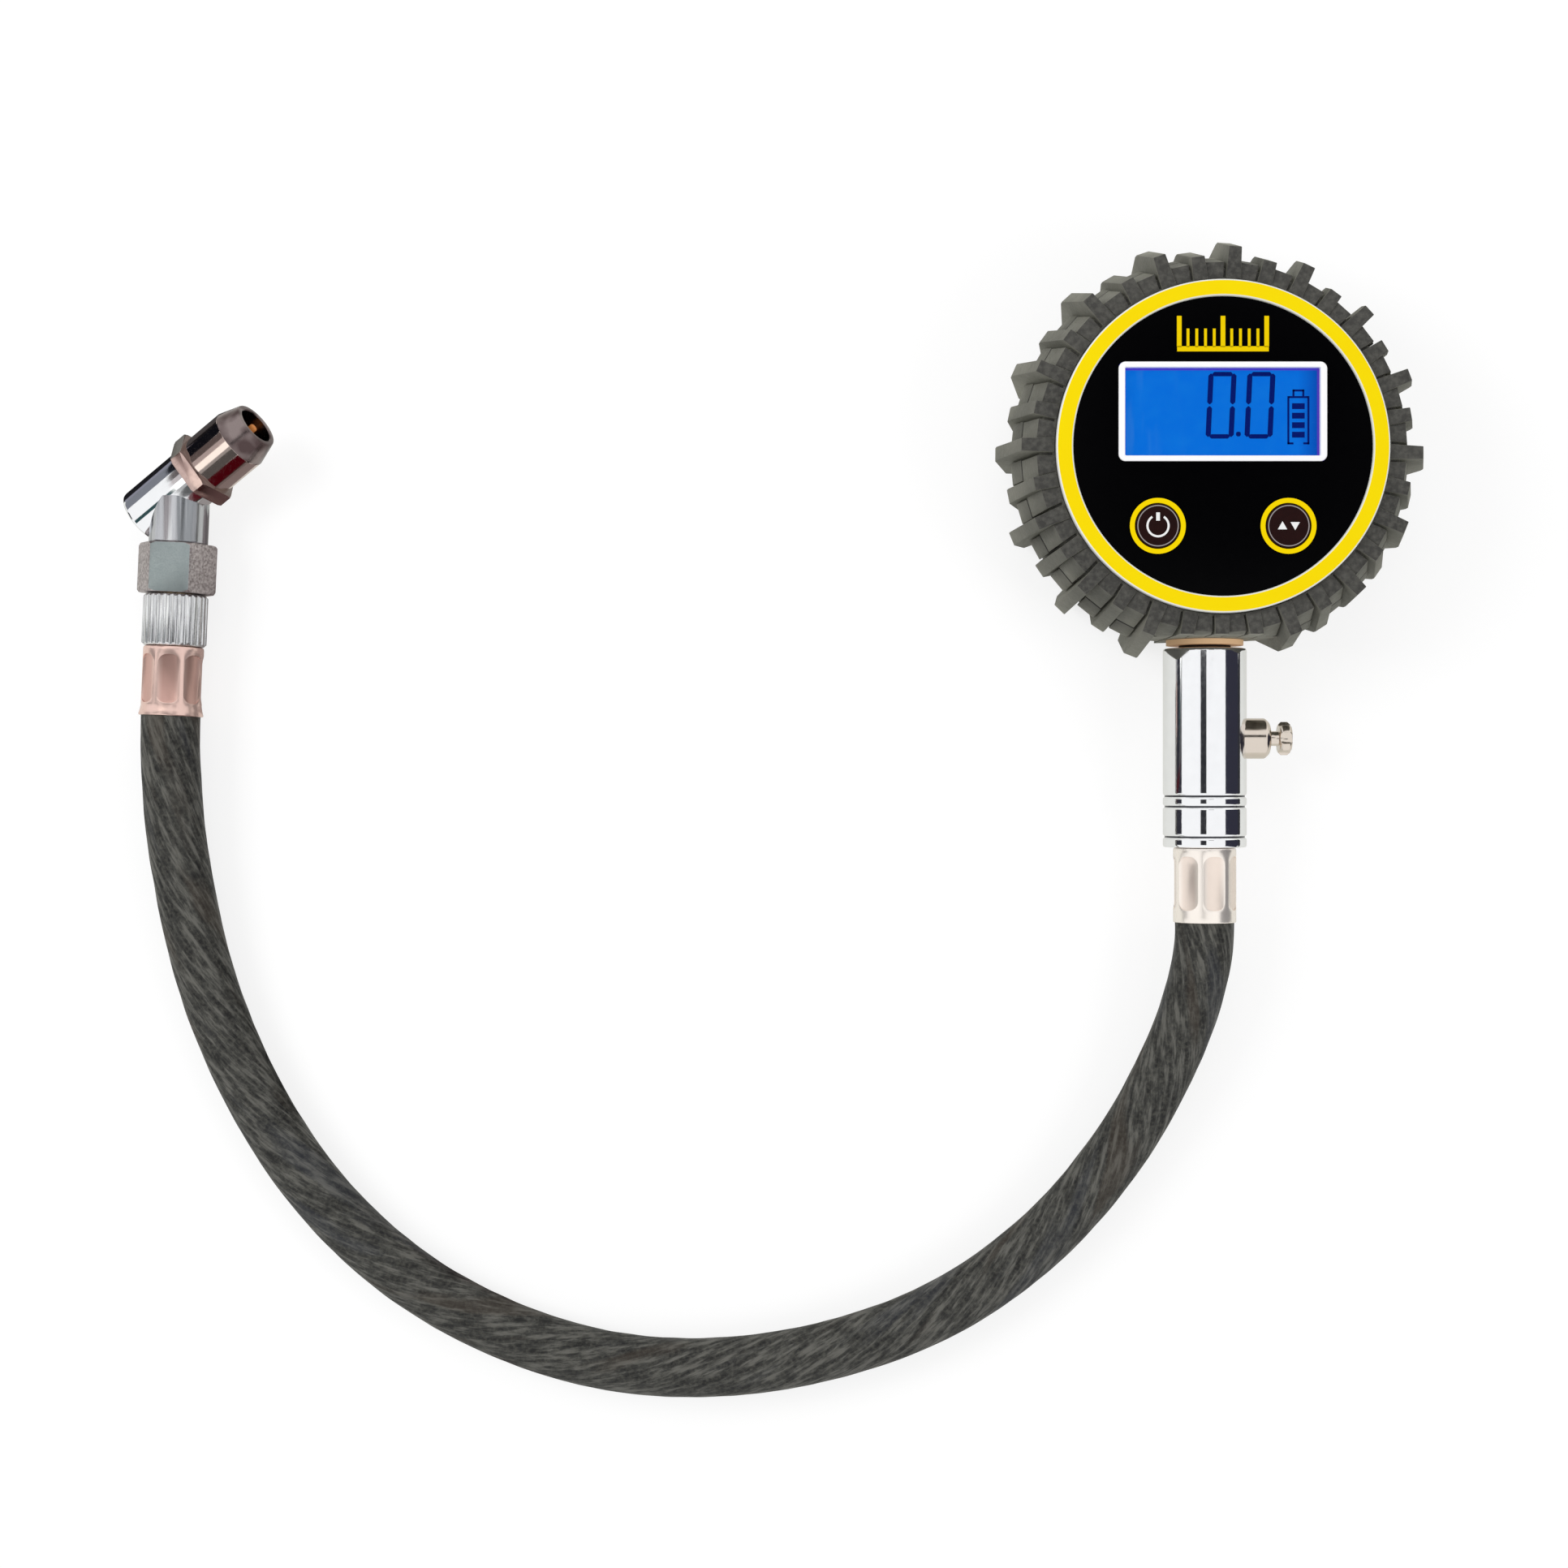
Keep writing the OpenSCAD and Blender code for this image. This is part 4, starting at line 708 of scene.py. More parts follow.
def makeHose():
    gaugeMouth = stemPlace @ Vector((0, 0, reach("gauge_ferrule", stemPlace)[1] * mm))
    chuckMouth = neckPlace @ Vector((0, 0, reach("chuck_ferrule", neckPlace)[0] * mm))
    stemDir = Vector((0, -1, 0))
    points = [gaugeMouth / mm] + [Vector(point) for point in hoseRoute] + [chuckMouth / mm]
    line = curveThrough(points, stemDir, neckDir, hose["step"])
    line = [line[0] - stemDir * hose["tuck"]] + line + [line[-1] + neckDir * hose["tuck"]]
    radius, sides = hose["diameter"] / 2, hose["sides"]
    vertices, wraps, along = [], [], 0
    for i, centre in enumerate(line):
        if i:
            along += (centre - line[i - 1]).length
        direction = (line[min(i + 1, len(line) - 1)] - line[max(i - 1, 0)]).normalized()
        side = direction.cross(Vector((0, 0, 1))).normalized()
        up = side.cross(direction)
        for k in range(sides):
            angle = 2 * math.pi * k / sides
            wound = angle + math.radians(hose["twist"]) * along
            wrap = Vector((radius * math.cos(wound), radius * math.sin(wound), along * hose["stretch"]))
            bump = hose["relief"] * noise.noise(wrap * 0.55)
            vertices.append((centre + (radius + bump) * (math.cos(angle) * side + math.sin(angle) * up)) * mm)
            wraps.append(wrap)
    last = len(line) - 1
    faces = [(i * sides + k, i * sides + (k + 1) % sides,
              (i + 1) * sides + (k + 1) % sides, (i + 1) * sides + k)
             for i in range(last) for k in range(sides)]
    faces.append(tuple(range(sides))[::-1])
    faces.append(tuple(last * sides + k for k in range(sides)))
    mesh = bpy.data.meshes.new("hoseTube")
    mesh.from_pydata(vertices, [], faces)
    wrapLayer = mesh.attributes.new("wrap", "FLOAT_VECTOR", "POINT")
    wrapLayer.data.foreach_set("vector", [c for wrap in wraps for c in wrap])
    piece = bpy.data.objects.new("hoseTube", mesh)
    bpy.context.scene.collection.objects.link(piece)
    editPiece(piece)
    bpy.ops.mesh.normals_make_consistent(inside=False)
    bpy.ops.object.mode_set(mode="OBJECT")
    finishPiece(piece, hoseClothMat, "gauge", ("hose",), smooth=60)


makeHose()


# rubber boot

boot = {
    "carcass": 40.9, "shoulder": 38.2, "blockTip": 43.4, "mediumTip": 44.9,      # mm from the centre
    "frontTip": 42.8,
    "opening": 28.6, "seat": 35.66, "shell": 34.75,
    "lip": 2.7, "skirt": 32.9,
    "flat": 39.9,             # mm from the centre to the flat at the stem
    "crown": 4.1,             # mm that the tread falls towards its two edges
    "crownFront": 21, "crownBack": 19,
    "padDrop": 0.15,          # mm from the lugs' front to the sidewall between them
    "lugHalf": 1.6, "groove": 0.3, "aside": 0.32, "split": 27, "splitHalf": 0.25,
    "lugRoot": 0.12,          # mm from the seat to where the lugs begin
    "highLow": 1.4, "mediumLow": 1.8, "blockLow": 2,      # heights of their back ends
    "draft": 0.035, "frontDraft": 0.018,                  # slopes of their sides
    "drop": 0.15,             # mm that a front block may stand lower than the next
    "edge": 0.15,
    "flatReach": 20,          # degrees to each side of the stem
}
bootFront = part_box("boot")[1][2] / mm
# where the moulded lugs sit, a high one first, in degrees
lugAngles = [-1.7, 9.8, 21, 31.8, 42.8, 53.5, 64.3, 75.4, 86.2, 97.3, 108.3, 119.8,
             132, 144.2, 156.2, 168, 179.3, 191.2, 202.6, 214, 225.6, 236.9, 248.4, 259.4,
             270, 280.6, 291.7, 303, 314, 325.3, 336.2, 347.3]
wornLugs = {291.7: 45.4, 314: 44.4, 336.2: 45.9}      # high lugs that stand less far out, mm


def crownCuts(tip, fall):      # the tread is highest in its middle
    return [((tip, 0, boot["crownFront"]), (bootFront - boot["crownFront"], 0, fall)),
            ((tip, 0, boot["crownBack"]), (boot["crownBack"], 0, -boot["crown"]))]


def treadLug(name, tip, fall, low):      # a bar over the sidewall that runs out into the tread
    half, inner = boot["lugHalf"], boot["seat"] + boot["lugRoot"]
    piece = blockPiece(name, (inner, -2 * half, low), (tip, 2 * half, bootFront))
    cuts = [((inner, side * half, bootFront), (boot["draft"], side, boot["frontDraft"])) for side in (-1, 1)]
    cutPiece(piece, cuts + crownCuts(tip, fall))
    softBevel(piece, boot["edge"], angle=20)
    return piece


def treadBlock(name, inner, low, high, frontFall):      # what fills the tread between two lugs
    tip, width = boot["blockTip"], 6
    step = math.tan(math.radians(180 / len(lugAngles)))
    half = step * inner - boot["lugHalf"] - boot["groove"]
    piece = blockPiece(name, (inner, -width / 2, low), (tip, width / 2, high))
    cuts = [((inner, side * half, bootFront), (-step - boot["draft"], side, -boot["frontDraft"]))
            for side in (-1, 1)]
    if frontFall:
        cuts.append(((inner, 0, high), (frontFall, 0, 1)))
    cutPiece(piece, cuts + crownCuts(tip, boot["crown"]))
    softBevel(piece, boot["edge"], angle=20)
    return piece


def makeCarcass():
    carcass, shoulder, seat, shell = boot["carcass"], boot["shoulder"], boot["seat"], boot["shell"]
    opening, lip, skirt = boot["opening"], boot["lip"], boot["skirt"]
    rings = [
        (opening + 0.3, 0), (carcass - 3.2, 0), (carcass - 1.9, 0.5), (carcass - 0.7, 2.2),
        (carcass - 0.1, 4.2), (carcass - 0.1, 17), (carcass - 1, 24), (shoulder + 0.4, 34.6),
        (shoulder, 35.4), (shoulder - 0.6, 36), (seat + 0.5, 36.2), (seat + 0.45, bootFront - 0.6),
        (seat + 0.3, bootFront - 0.4), (seat, bootFront - 0.4), (seat, skirt), (shell, skirt), (shell, lip),
        (opening + 0.3, lip), (opening, lip - 0.3), (opening, 0.3),
    ]
    return turnPiece("tyreBoot", rings, sides=192, closed=True)


def makeBoot():
    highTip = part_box("boot")[1][0] / mm
    body = makeCarcass()
    flat = ((0, -boot["flat"], 0), (0, -1, 0))
    cutPiece(body, [flat])

    split, splitHalf = boot["split"], boot["splitHalf"]
    mediumLug = treadLug("mediumLug", boot["mediumTip"], boot["crown"], boot["mediumLow"])
    frontBlock = treadBlock("frontBlock", boot["seat"] + boot["lugRoot"], split + splitHalf,
                            bootFront - boot["padDrop"], 0.16)
    backBlock = treadBlock("backBlock", boot["carcass"] - 2.4, boot["blockLow"], split - splitHalf, 0)
    count = len(lugAngles)
    parts = [body]

    def addPart(part, angle):
        if abs(angle - 270) < boot["flatReach"]:
            cutPiece(part, [flat])
        parts.append(part)

    for i, angle in enumerate(lugAngles):
        turn = Matrix.Rotation(math.radians(angle), 4, "Z")
        if i % 2:
            addPart(copyPiece(mediumLug, turn), angle)
        else:
            tip = wornLugs.get(angle, highTip)
            addPart(putPiece(treadLug("highLug", tip, tip - boot["frontTip"], boot["highLow"]), turn), angle)
        gap = (lugAngles[(i + 1) % count] - angle) % 360
        middle = angle + gap / 2
        spread = Matrix.Diagonal((1, gap * count / 360, 1, 1))
        # the grooves are wider on one side of a lug
        aside = boot["aside"] * (1 if -10 < middle < 190 else -1)
        for block, shift in ((frontBlock, aside), (backBlock, 0)):
            drop = seeded.uniform(0, boot["drop"]) if shift else 0
            moved = Matrix.Translation((0, shift * mm, -drop * mm))
            place = Matrix.Rotation(math.radians(middle), 4, "Z") @ moved
            addPart(copyPiece(block, place @ spread), middle)
    for block in (mediumLug, frontBlock, backBlock):
        removePiece(block)
    finishPiece(joinPieces("tyreBoot", parts), tyreRubberMat, "gauge", ("boot",), smooth=30)
    print("boot made")


makeBoot()


# head: bezel, dial, display and buttons

bezel = {"band": 3.6, "edge": 0.35, "rounding": 0.1, "skirt": 0.8, "sides": 192}      # mm


def makeBezel():
    low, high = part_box("bezel_ring")
    outer, back, front = high[0] / mm, low[2] / mm, high[2] / mm
    inner, edge, soft = outer - bezel["band"], bezel["edge"], bezel["rounding"]
    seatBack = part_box("dial_panel")[0][2] / mm
    rings = [(inner, seatBack), (inner, front - edge), (inner + soft, front - soft), (inner + edge, front),
             (outer - edge, front), (outer - soft, front - soft), (outer, front - edge), (outer, back),
             (outer - bezel["skirt"], back), (outer - bezel["skirt"], seatBack)]
    piece = turnPiece("bezelRing", rings, sides=bezel["sides"], closed=True)
    finishPiece(piece, bezelYellow(inner, outer), "gauge", ("bezel_ring",), smooth=50)


display = {      # mm; lean in degrees
    "centre": (0, 7.4), "size": (41.6, 18.8), "frameEdge": 0.22,
    "stroke": 1.1, "digit": (6.0, 14.4), "lean": 2.7, "ink": 0.04, "gap": 0.2,
    "uprightSlant": 0.45, "crossbarSlant": 0.4, "crossbarShare": 0.85,
    "digitAt": ((-0.1, 8.95), (8.2, 8.95)), "dotAt": (3.6, 2.8), "dot": 1.0, "lift": 0.01,
}
battery = {      # mm
    "at": (16.4, 5.75), "width": 4.7, "height": 10.3, "line": 0.42, "foot": 1.3,
    "capSide": 1.05, "capHeight": 1.4, "capWidth": 2.5, "capTop": 1.2,
    "bars": 4, "bar": (2.7, 1.25), "barStep": 2.03, "firstBar": 3,
}
dialScale = {      # mm; each mark as width and height
    "line": (19.5, 1.1), "lineAt": 20.7, "foot": 21.1, "step": 1.86, "count": 11,
    "longMark": (1.0, 6.6), "shortMark": (0.6, 3.9), "longEvery": 5, "lift": 0.005,
}


def inkBlock(name, x, y, width, height, low, point=0.0):      # point slants the corners, mm
    piece = blockPiece(name, (x - width / 2, y - height / 2, low),
                       (x + width / 2, y + height / 2, low + display["ink"]))
    if point:
        bevelAlong(piece, 2, point)
    return piece


def zeroDigit(x, y, low):
    width, height = display["digit"]
    stroke, gap = display["stroke"], display["gap"]
    side, bar = width / 2 - stroke / 2, height / 2 - stroke / 2
    length = bar - gap + 0.1
    parts = [inkBlock("upright", sx * side, sy * (length / 2 + gap), stroke, length, low,
                      display["uprightSlant"]) for sx in (-1, 1) for sy in (-1, 1)]
    parts += [inkBlock("crossbar", 0, sy * bar, width - 1.5 * stroke, stroke * display["crossbarShare"], low,
                       display["crossbarSlant"]) for sy in (-1, 1)]
    lean = math.tan(math.radians(display["lean"]))
    shear = Matrix(((1, lean, 0, x * mm), (0, 1, 0, y * mm), (0, 0, 1, 0), (0, 0, 0, 1)))
    piece = joinPieces("zero", parts)
    piece.data.transform(shear)
    return piece


def batteryIcon(low):
    x, y = battery["at"]
    width, height, line, foot = battery["width"], battery["height"], battery["line"], battery["foot"]
    top, cap = y + height / 2, battery["capHeight"]
    parts = [inkBlock("side", x + sx * (width - line) / 2, y, line, height, low) for sx in (-1, 1)]
    parts.append(inkBlock("top", x, top - line / 2, width - line, line, low))
    parts += [inkBlock("foot", x + sx * (width - foot) / 2, y - height / 2 + line / 2, foot, line, low)
              for sx in (-1, 1)]
    parts += [inkBlock("cap", x + sx * battery["capSide"], top + cap / 2, line, cap, low) for sx in (-1, 1)]
    parts.append(inkBlock("cap", x, top + battery["capTop"], battery["capWidth"], line, low))
    return parts + [inkBlock("bar", x, y + battery["firstBar"] - battery["barStep"] * k, *battery["bar"], low)
                    for k in range(battery["bars"])]


def makeDisplayMarks():
    low, dot = lcdFront + display["lift"], display["dot"]
    parts = [zeroDigit(x, y, low) for x, y in display["digitAt"]]
    parts += [inkBlock("dot", *display["dotAt"], dot, dot, low, dot / 4)] + batteryIcon(low)
    finishPiece(joinPieces("displayMarks", parts), inkNavyMat, "gauge", smooth=0)


def makeDialMarks():      # a plain row of scale marks above the display
    low, count = dialFront + dialScale["lift"], dialScale["count"]
    parts = [inkBlock("scaleLine", 0, dialScale["lineAt"], *dialScale["line"], low)]
    for k in range(count):
        width, height = dialScale["shortMark" if k % dialScale["longEvery"] else "longMark"]
        parts.append(inkBlock("scaleMark", (k - (count - 1) / 2) * dialScale["step"],
                              dialScale["foot"] + height / 2, width, height, low))
    finishPiece(joinPieces("dialMarks", parts), inkYellowMat, "gauge", smooth=0)


button = {      # mm; gap in degrees
    "line": 4.4, "lineWidth": 0.22, "glyph": 2.25, "stroke": 0.45, "gap": 33,
    "bar": (0.8, 1.75), "barAt": 1.95, "triangle": 1.15, "apart": 1.35, "shift": 0.2, "lift": 0.005,
}


def arcPiece(name, radius, stroke, gap, low):      # a flat arc, open by gap degrees each side of its top
    deselectAll()
    bpy.ops.mesh.primitive_grid_add(x_subdivisions=60, y_subdivisions=1, size=2)
    piece = bpy.context.object
    piece.name = name
    for vertex in piece.data.vertices:
        angle = math.radians(90 - gap - (vertex.co.x + 1) / 2 * (360 - 2 * gap))
        reached = radius + vertex.co.y * stroke / 2
        vertex.co = Vector((reached * math.cos(angle), reached * math.sin(angle), low)) * mm
    applyModifier(piece, "SOLIDIFY", thickness=display["ink"] * mm, offset=1)
    editPiece(piece)
    bpy.ops.mesh.normals_make_consistent(inside=False)
    bpy.ops.object.mode_set(mode="OBJECT")
    return piece


def triangleMark(name, x, up, low):
    deselectAll()
    ink, y = display["ink"], -button["shift"] if up else button["shift"]
    bpy.ops.mesh.primitive_cylinder_add(vertices=3, radius=button["triangle"] * mm, depth=ink * mm,
                                        location=(x * mm, y * mm, (low + ink / 2) * mm),
                                        rotation=(0, 0, 0 if up else math.pi))
    piece = bpy.context.object
    piece.name = name
    bpy.ops.object.transform_apply()
    return piece


def makeButtons():
    outer, inner = button["line"], button["line"] - button["lineWidth"]
    for body, marks in (("power_button", "power"), ("unit_button", "unit")):
        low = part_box(body)[1][2] / mm + button["lift"]
        high = low + display["ink"]
        place = Matrix.Translation((nodeCentre(body).x, nodeCentre(body).y, 0))
        rings = [(inner, low), (outer, low), (outer, high), (inner, high)]
        line = turnPiece(marks + "Line", rings, closed=True)
        finishPiece(putPiece(line, place), inkGreyMat, body)
        if marks == "power":
            parts = [arcPiece("powerArc", button["glyph"], button["stroke"], button["gap"], low),
                     inkBlock("powerBar", 0, button["barAt"], *button["bar"], low)]
        else:
            parts = [triangleMark("upMark", -button["apart"], True, low),
                     triangleMark("downMark", button["apart"], False, low)]
        glyph = joinPieces(marks + "Glyph", parts)
        finishPiece(putPiece(glyph, place), inkWhiteMat, body, smooth=0)


makeBezel()
makeDisplayMarks()
makeDialMarks()
makeButtons()
roundedNode("display_frame", "displayFrame", display["frameEdge"], frameWhiteMat, "gauge")
print("head made")


# stem and bleed valve

stem = {      # mm; grooves from the ferrule's end
    "bore": 5, "chamfer": 0.45, "rounding": 0.12,
    "grooves": (2.3, 9.0, 11.3), "grooveDepth": 0.45, "grooveHalf": 0.5,
    "shoulder": (0.4, 0.7),      # of a groove, as shares of its half width and its depth
}
bleedValve = {      # mm
    "sink": 1.1, "pinHole": 1.75, "rim": 1, "chamfer": 1.15, "rounding": 0.12, "knobEdge": 0.18,
}


def makeStem():
    start, end, radius = reach("stem_body", stemPlace)
    bore, chamfer, rounding = stem["bore"], stem["chamfer"], stem["rounding"]
    depth, half = stem["grooveDepth"], stem["grooveHalf"]
    near, deep = stem["shoulder"]
    rings = [(bore, start), (radius - chamfer, start), (radius - rounding, start + rounding),
             (radius, start + chamfer)]
    for place in sorted(end - groove for groove in stem["grooves"]):
        rings += [(radius, place - half), (radius - depth * deep, place - half * near), (radius - depth, place),
                  (radius - depth * deep, place + half * near), (radius, place + half)]
    rings += [(radius, end - chamfer), (radius - rounding, end - rounding),
              (radius - chamfer, end), (bore, end)]
    piece = turnPiece("stemTube", rings, sides=128, closed=True)
    piece.data.materials.append(chromeMat)
    piece.data.materials.append(grooveShadeMat)
    for face in piece.data.polygons:
        out = math.hypot(face.center.x, face.center.y) / mm
        face.material_index = int(radius - depth < out < radius - depth * (deep + 0.02))
    finishPiece(putPiece(piece, stemPlace), None, "gauge", ("stem_body",), smooth=50)


def makeBleedValve():
    front, radius = reach("bleed_boss", bleedPlace)[1:]
    seat = reach("stem_body", stemPlace)[2] - bleedValve["sink"]
    pinHole, rim, rounding = bleedValve["pinHole"], bleedValve["rim"], bleedValve["rounding"]
    rings = [(pinHole, seat), (radius, seat), (radius, front - bleedValve["chamfer"]),
             (radius - rounding, front - 0.85), (radius - 0.8, front - rounding), (radius - rim, front),
             (pinHole, front)]
    boss = putPiece(turnPiece("bleedBoss", rings, closed=True), bleedPlace)
    finishPiece(boss, warmNickelMat, "gauge", ("bleed_boss",), smooth=50)
    roundedNode("bleed_knob", "bleedStar", bleedValve["knobEdge"], warmNickelMat, "bleed_knob")


makeStem()
makeBleedValve()
print("stem made")


# ferrules

ferrule = {      # mm
    "sides": 112, "bore": 5.0, "wall": 1.15, "endWall": 1.0,
    "flats": 7, "flatWidth": 5.0, "flatStart": 1.9, "flatEnd": 2.8, "depth": 0.48, "round": 2.1, "edge": 0.14,
}


def makeFerrule(name, node, place, colours, mouthAtEnd, firstFlat, flare):
    # the mouth is the end that the hose goes into
    start, end, radius = reach(node, place)
    length, barrel, bore = end - start, radius - flare, ferrule["bore"]
    inner = barrel - ferrule["wall"]
    material = crimpedMetal(name + "Metal", place, barrel, ferrule["depth"], *colours)
    rings = [(bore, 0), (barrel - 0.5, 0), (barrel - 0.12, 0.15), (barrel, 0.55), (barrel, length - 2.3),
             (barrel + flare * 0.4, length - 1.3), (radius, length - 0.3), (radius - 0.05, length - 0.08),
             (radius - 0.25, length), (inner + 0.5, length), (inner + 0.5, length - 1), (inner, length - 2.2),
             (inner, ferrule["endWall"]), (bore, ferrule["endWall"])]
    piece = turnPiece(name, rings, sides=ferrule["sides"], closed=True)
    half = ferrule["flatWidth"] / 2
    cutter = blockPiece("crimpJaw", (barrel - ferrule["depth"], -half, ferrule["flatStart"]),
                        (barrel + 1, half, length - ferrule["flatEnd"]))
    bevelAlong(cutter, 0, ferrule["round"], segments=6)
    jaws = joinPieces("crimpJaws", [
        copyPiece(cutter, Matrix.Rotation(math.radians(firstFlat + 360 / ferrule["flats"] * i), 4, "Z"))
        for i in range(ferrule["flats"])])
    removePiece(cutter)
    applyModifier(piece, "BOOLEAN", operation="DIFFERENCE", object=jaws, solver="EXACT")
    removePiece(jaws)
    softBevel(piece, ferrule["edge"], angle=30)
    if mouthAtEnd:
        local = Matrix.Translation((0, 0, start * mm))
    else:
        local = Matrix.Translation((0, 0, end * mm)) @ Matrix.Rotation(math.pi, 4, "X")
    finishPiece(putPiece(piece, place @ local), material, "gauge", (node,), smooth=40)


# colours of the painted highlights on the ridges and of the flats
creamNickel = ((1.0, 0.93, 0.86), (0.84, 0.73, 0.65))
roseCopper = ((0.84, 0.6, 0.53), (0.6, 0.37, 0.32))
makeFerrule("gaugeFerrule", "gauge_ferrule", stemPlace, creamNickel, True, 29, 0.0)
makeFerrule("chuckFerrule", "chuck_ferrule", neckPlace, roseCopper, False, 33, 0.45)
print("ferrules made")


# swivel: collar and nut

swivel = {"collarEdge": 0.1, "nutEdge": 0.22}      # mm

roundedNode("knurled_collar", "knurledCollar", swivel["collarEdge"], collarSilverMat, "gauge",
            angle=25, smooth=30)
roundedNode("swivel_nut", "swivelNut", swivel["nutEdge"], nutZincMat, "chuck", smooth=30)
print("swivel made")


# chuck

chuck = {      # mm, along the head from the crossing of its axis with the neck's; the turn in degrees
    "rear": -11.4, "bodyFront": 5.2, "bodyRadius": 6.75, "bodyBore": 5.45, "rearWall": 6, "hole": 0.4,
    "neckRadius": 6.5, "neckInset": 2.3, "neckBore": 5.7, "neckHole": 1.5,
    "hexRear": 5.25, "hexFront": 8.6, "hexFlats": 15.2, "hexTurn": 13, "hexBore": 4.4, "hexChamfer": 0.5,
    "hexEdge": 0.06, "noseTuck": 0.6,
    "noseRadius": 7.0, "coneStart": 18.7, "rimRadius": 5.4, "mouthRadius": 4.2, "throatRadius": 3.6,
    "tipDepth": 0.6, "tipRadius": 0.9, "tipTuck": 0.6,
}


def makeChuckBody():
    rear, radius, front, bore = chuck["rear"], chuck["bodyRadius"], chuck["bodyFront"], chuck["bodyBore"]
    hole, floor = chuck["hole"], rear + chuck["rearWall"]
    rings = [(hole, rear), (radius - 0.75, rear), (radius - 0.3, rear + 0.08), (radius - 0.08, rear + 0.3),
             (radius, rear + 0.75), (radius, front - 0.15), (radius - 0.15, front), (bore, front),
             (bore, floor), (hole, floor)]
    head = putPiece(turnPiece("chuckHead", rings, sides=128), headPlace)
    finishPiece(head, chromeMat, "chuck", ("chuck_body",), smooth=50)
    near, far, rim = reach("swivel_nut", neckPlace)[1] + 0.1, -chuck["neckInset"], -radius - 0.5
    neckHole, neckBore, neckRadius = chuck["neckHole"], chuck["neckBore"], chuck["neckRadius"]
    rings = [(neckHole, near), (neckRadius - 0.2, near), (neckRadius, near + 0.2), (neckRadius, far),
             (neckBore, far), (neckBore, rim), (neckHole, rim)]
    neck = putPiece(turnPiece("chuckNeck", rings, closed=True), neckPlace)
    finishPiece(neck, satinChromeMat, "chuck", ("chuck_body",), smooth=50)


def makeHexagon():
    rear, front, cut, bore = chuck["hexRear"], chuck["hexFront"], chuck["hexChamfer"], chuck["hexBore"]
    corner = chuck["hexFlats"] / 2 / math.cos(math.radians(30))
    deselectAll()
    bpy.ops.mesh.primitive_cylinder_add(vertices=6, radius=corner * mm, depth=(front - rear) * mm,
                                        location=(0, 0, (front + rear) / 2 * mm),
                                        rotation=(0, 0, math.radians(chuck["hexTurn"] + 30)))
    hexagon = bpy.context.object
    bpy.ops.object.transform_apply()
    rings = [(bore, rear - 0.1), (corner - 1.14 * cut, rear - 0.1), (corner + 0.1, rear + 0.7 * cut),
             (corner + 0.1, front - 0.7 * cut), (corner - 1.14 * cut, front + 0.1), (bore, front + 0.1)]
    chamfer = turnPiece("hexChamfer", rings, sides=128, closed=True)
    applyModifier(hexagon, "BOOLEAN", operation="INTERSECT", object=chamfer, solver="EXACT")
    removePiece(chamfer)
    softBevel(hexagon, chuck["hexEdge"], angle=40)
    hexagon.name = "chuckHexagon"
    return hexagon


def makeChuckNose():
    front = reach("chuck_nose", headPlace)[1]
    rear, radius, mouth = chuck["hexFront"] - chuck["noseTuck"], chuck["noseRadius"], chuck["mouthRadius"]
    rim, cone, throat = chuck["rimRadius"], chuck["coneStart"], chuck["throatRadius"]
    sealRear = reach("chuck_seal", headPlace)[0] - 0.05
    rings = [(throat, rear), (radius, rear), (radius, cone - 0.2), (radius - 0.1, cone + 0.15),
             (rim + 0.12, front - 0.35), (rim - 0.05, front - 0.08), (rim - 0.3, front), (mouth + 0.2, front),
             (mouth, front - 0.2), (mouth, sealRear), (throat, sealRear)]
    nose = turnPiece("chuckNose", rings, sides=128, closed=True)
    hexagon = makeHexagon()
    nose.data.materials.append(noseNickelMat)
    nose.data.materials.append(coneGunmetalMat)
    for face in nose.data.polygons:
        face.material_index = int(face.center.z > (cone - 0.1) * mm)
    finishPiece(putPiece(nose, headPlace), None, "chuck", ("chuck_nose",), smooth=35)
    finishPiece(putPiece(hexagon, headPlace), hexRoseMat, "chuck", smooth=30)


def makePinTip():      # the pin's end, just inside the mouth
    pinEnd = reach("depressor_pin", headPlace)[1] - chuck["tipTuck"]
    tip, radius = reach("chuck_nose", headPlace)[1] - chuck["tipDepth"], chuck["tipRadius"]
    rings = [(0.4, pinEnd), (radius, pinEnd), (radius, tip - 0.3), (radius - 0.12, tip - 0.08), (0.4, tip)]
    tipPiece = putPiece(turnPiece("pinTip", rings, sides=48), headPlace)
    finishPiece(tipPiece, pinBrassMat, "depressor", smooth=50)


makeChuckBody()
makeChuckNose()
makePinTip()
print("chuck made")


# finishes of the nodes that stay

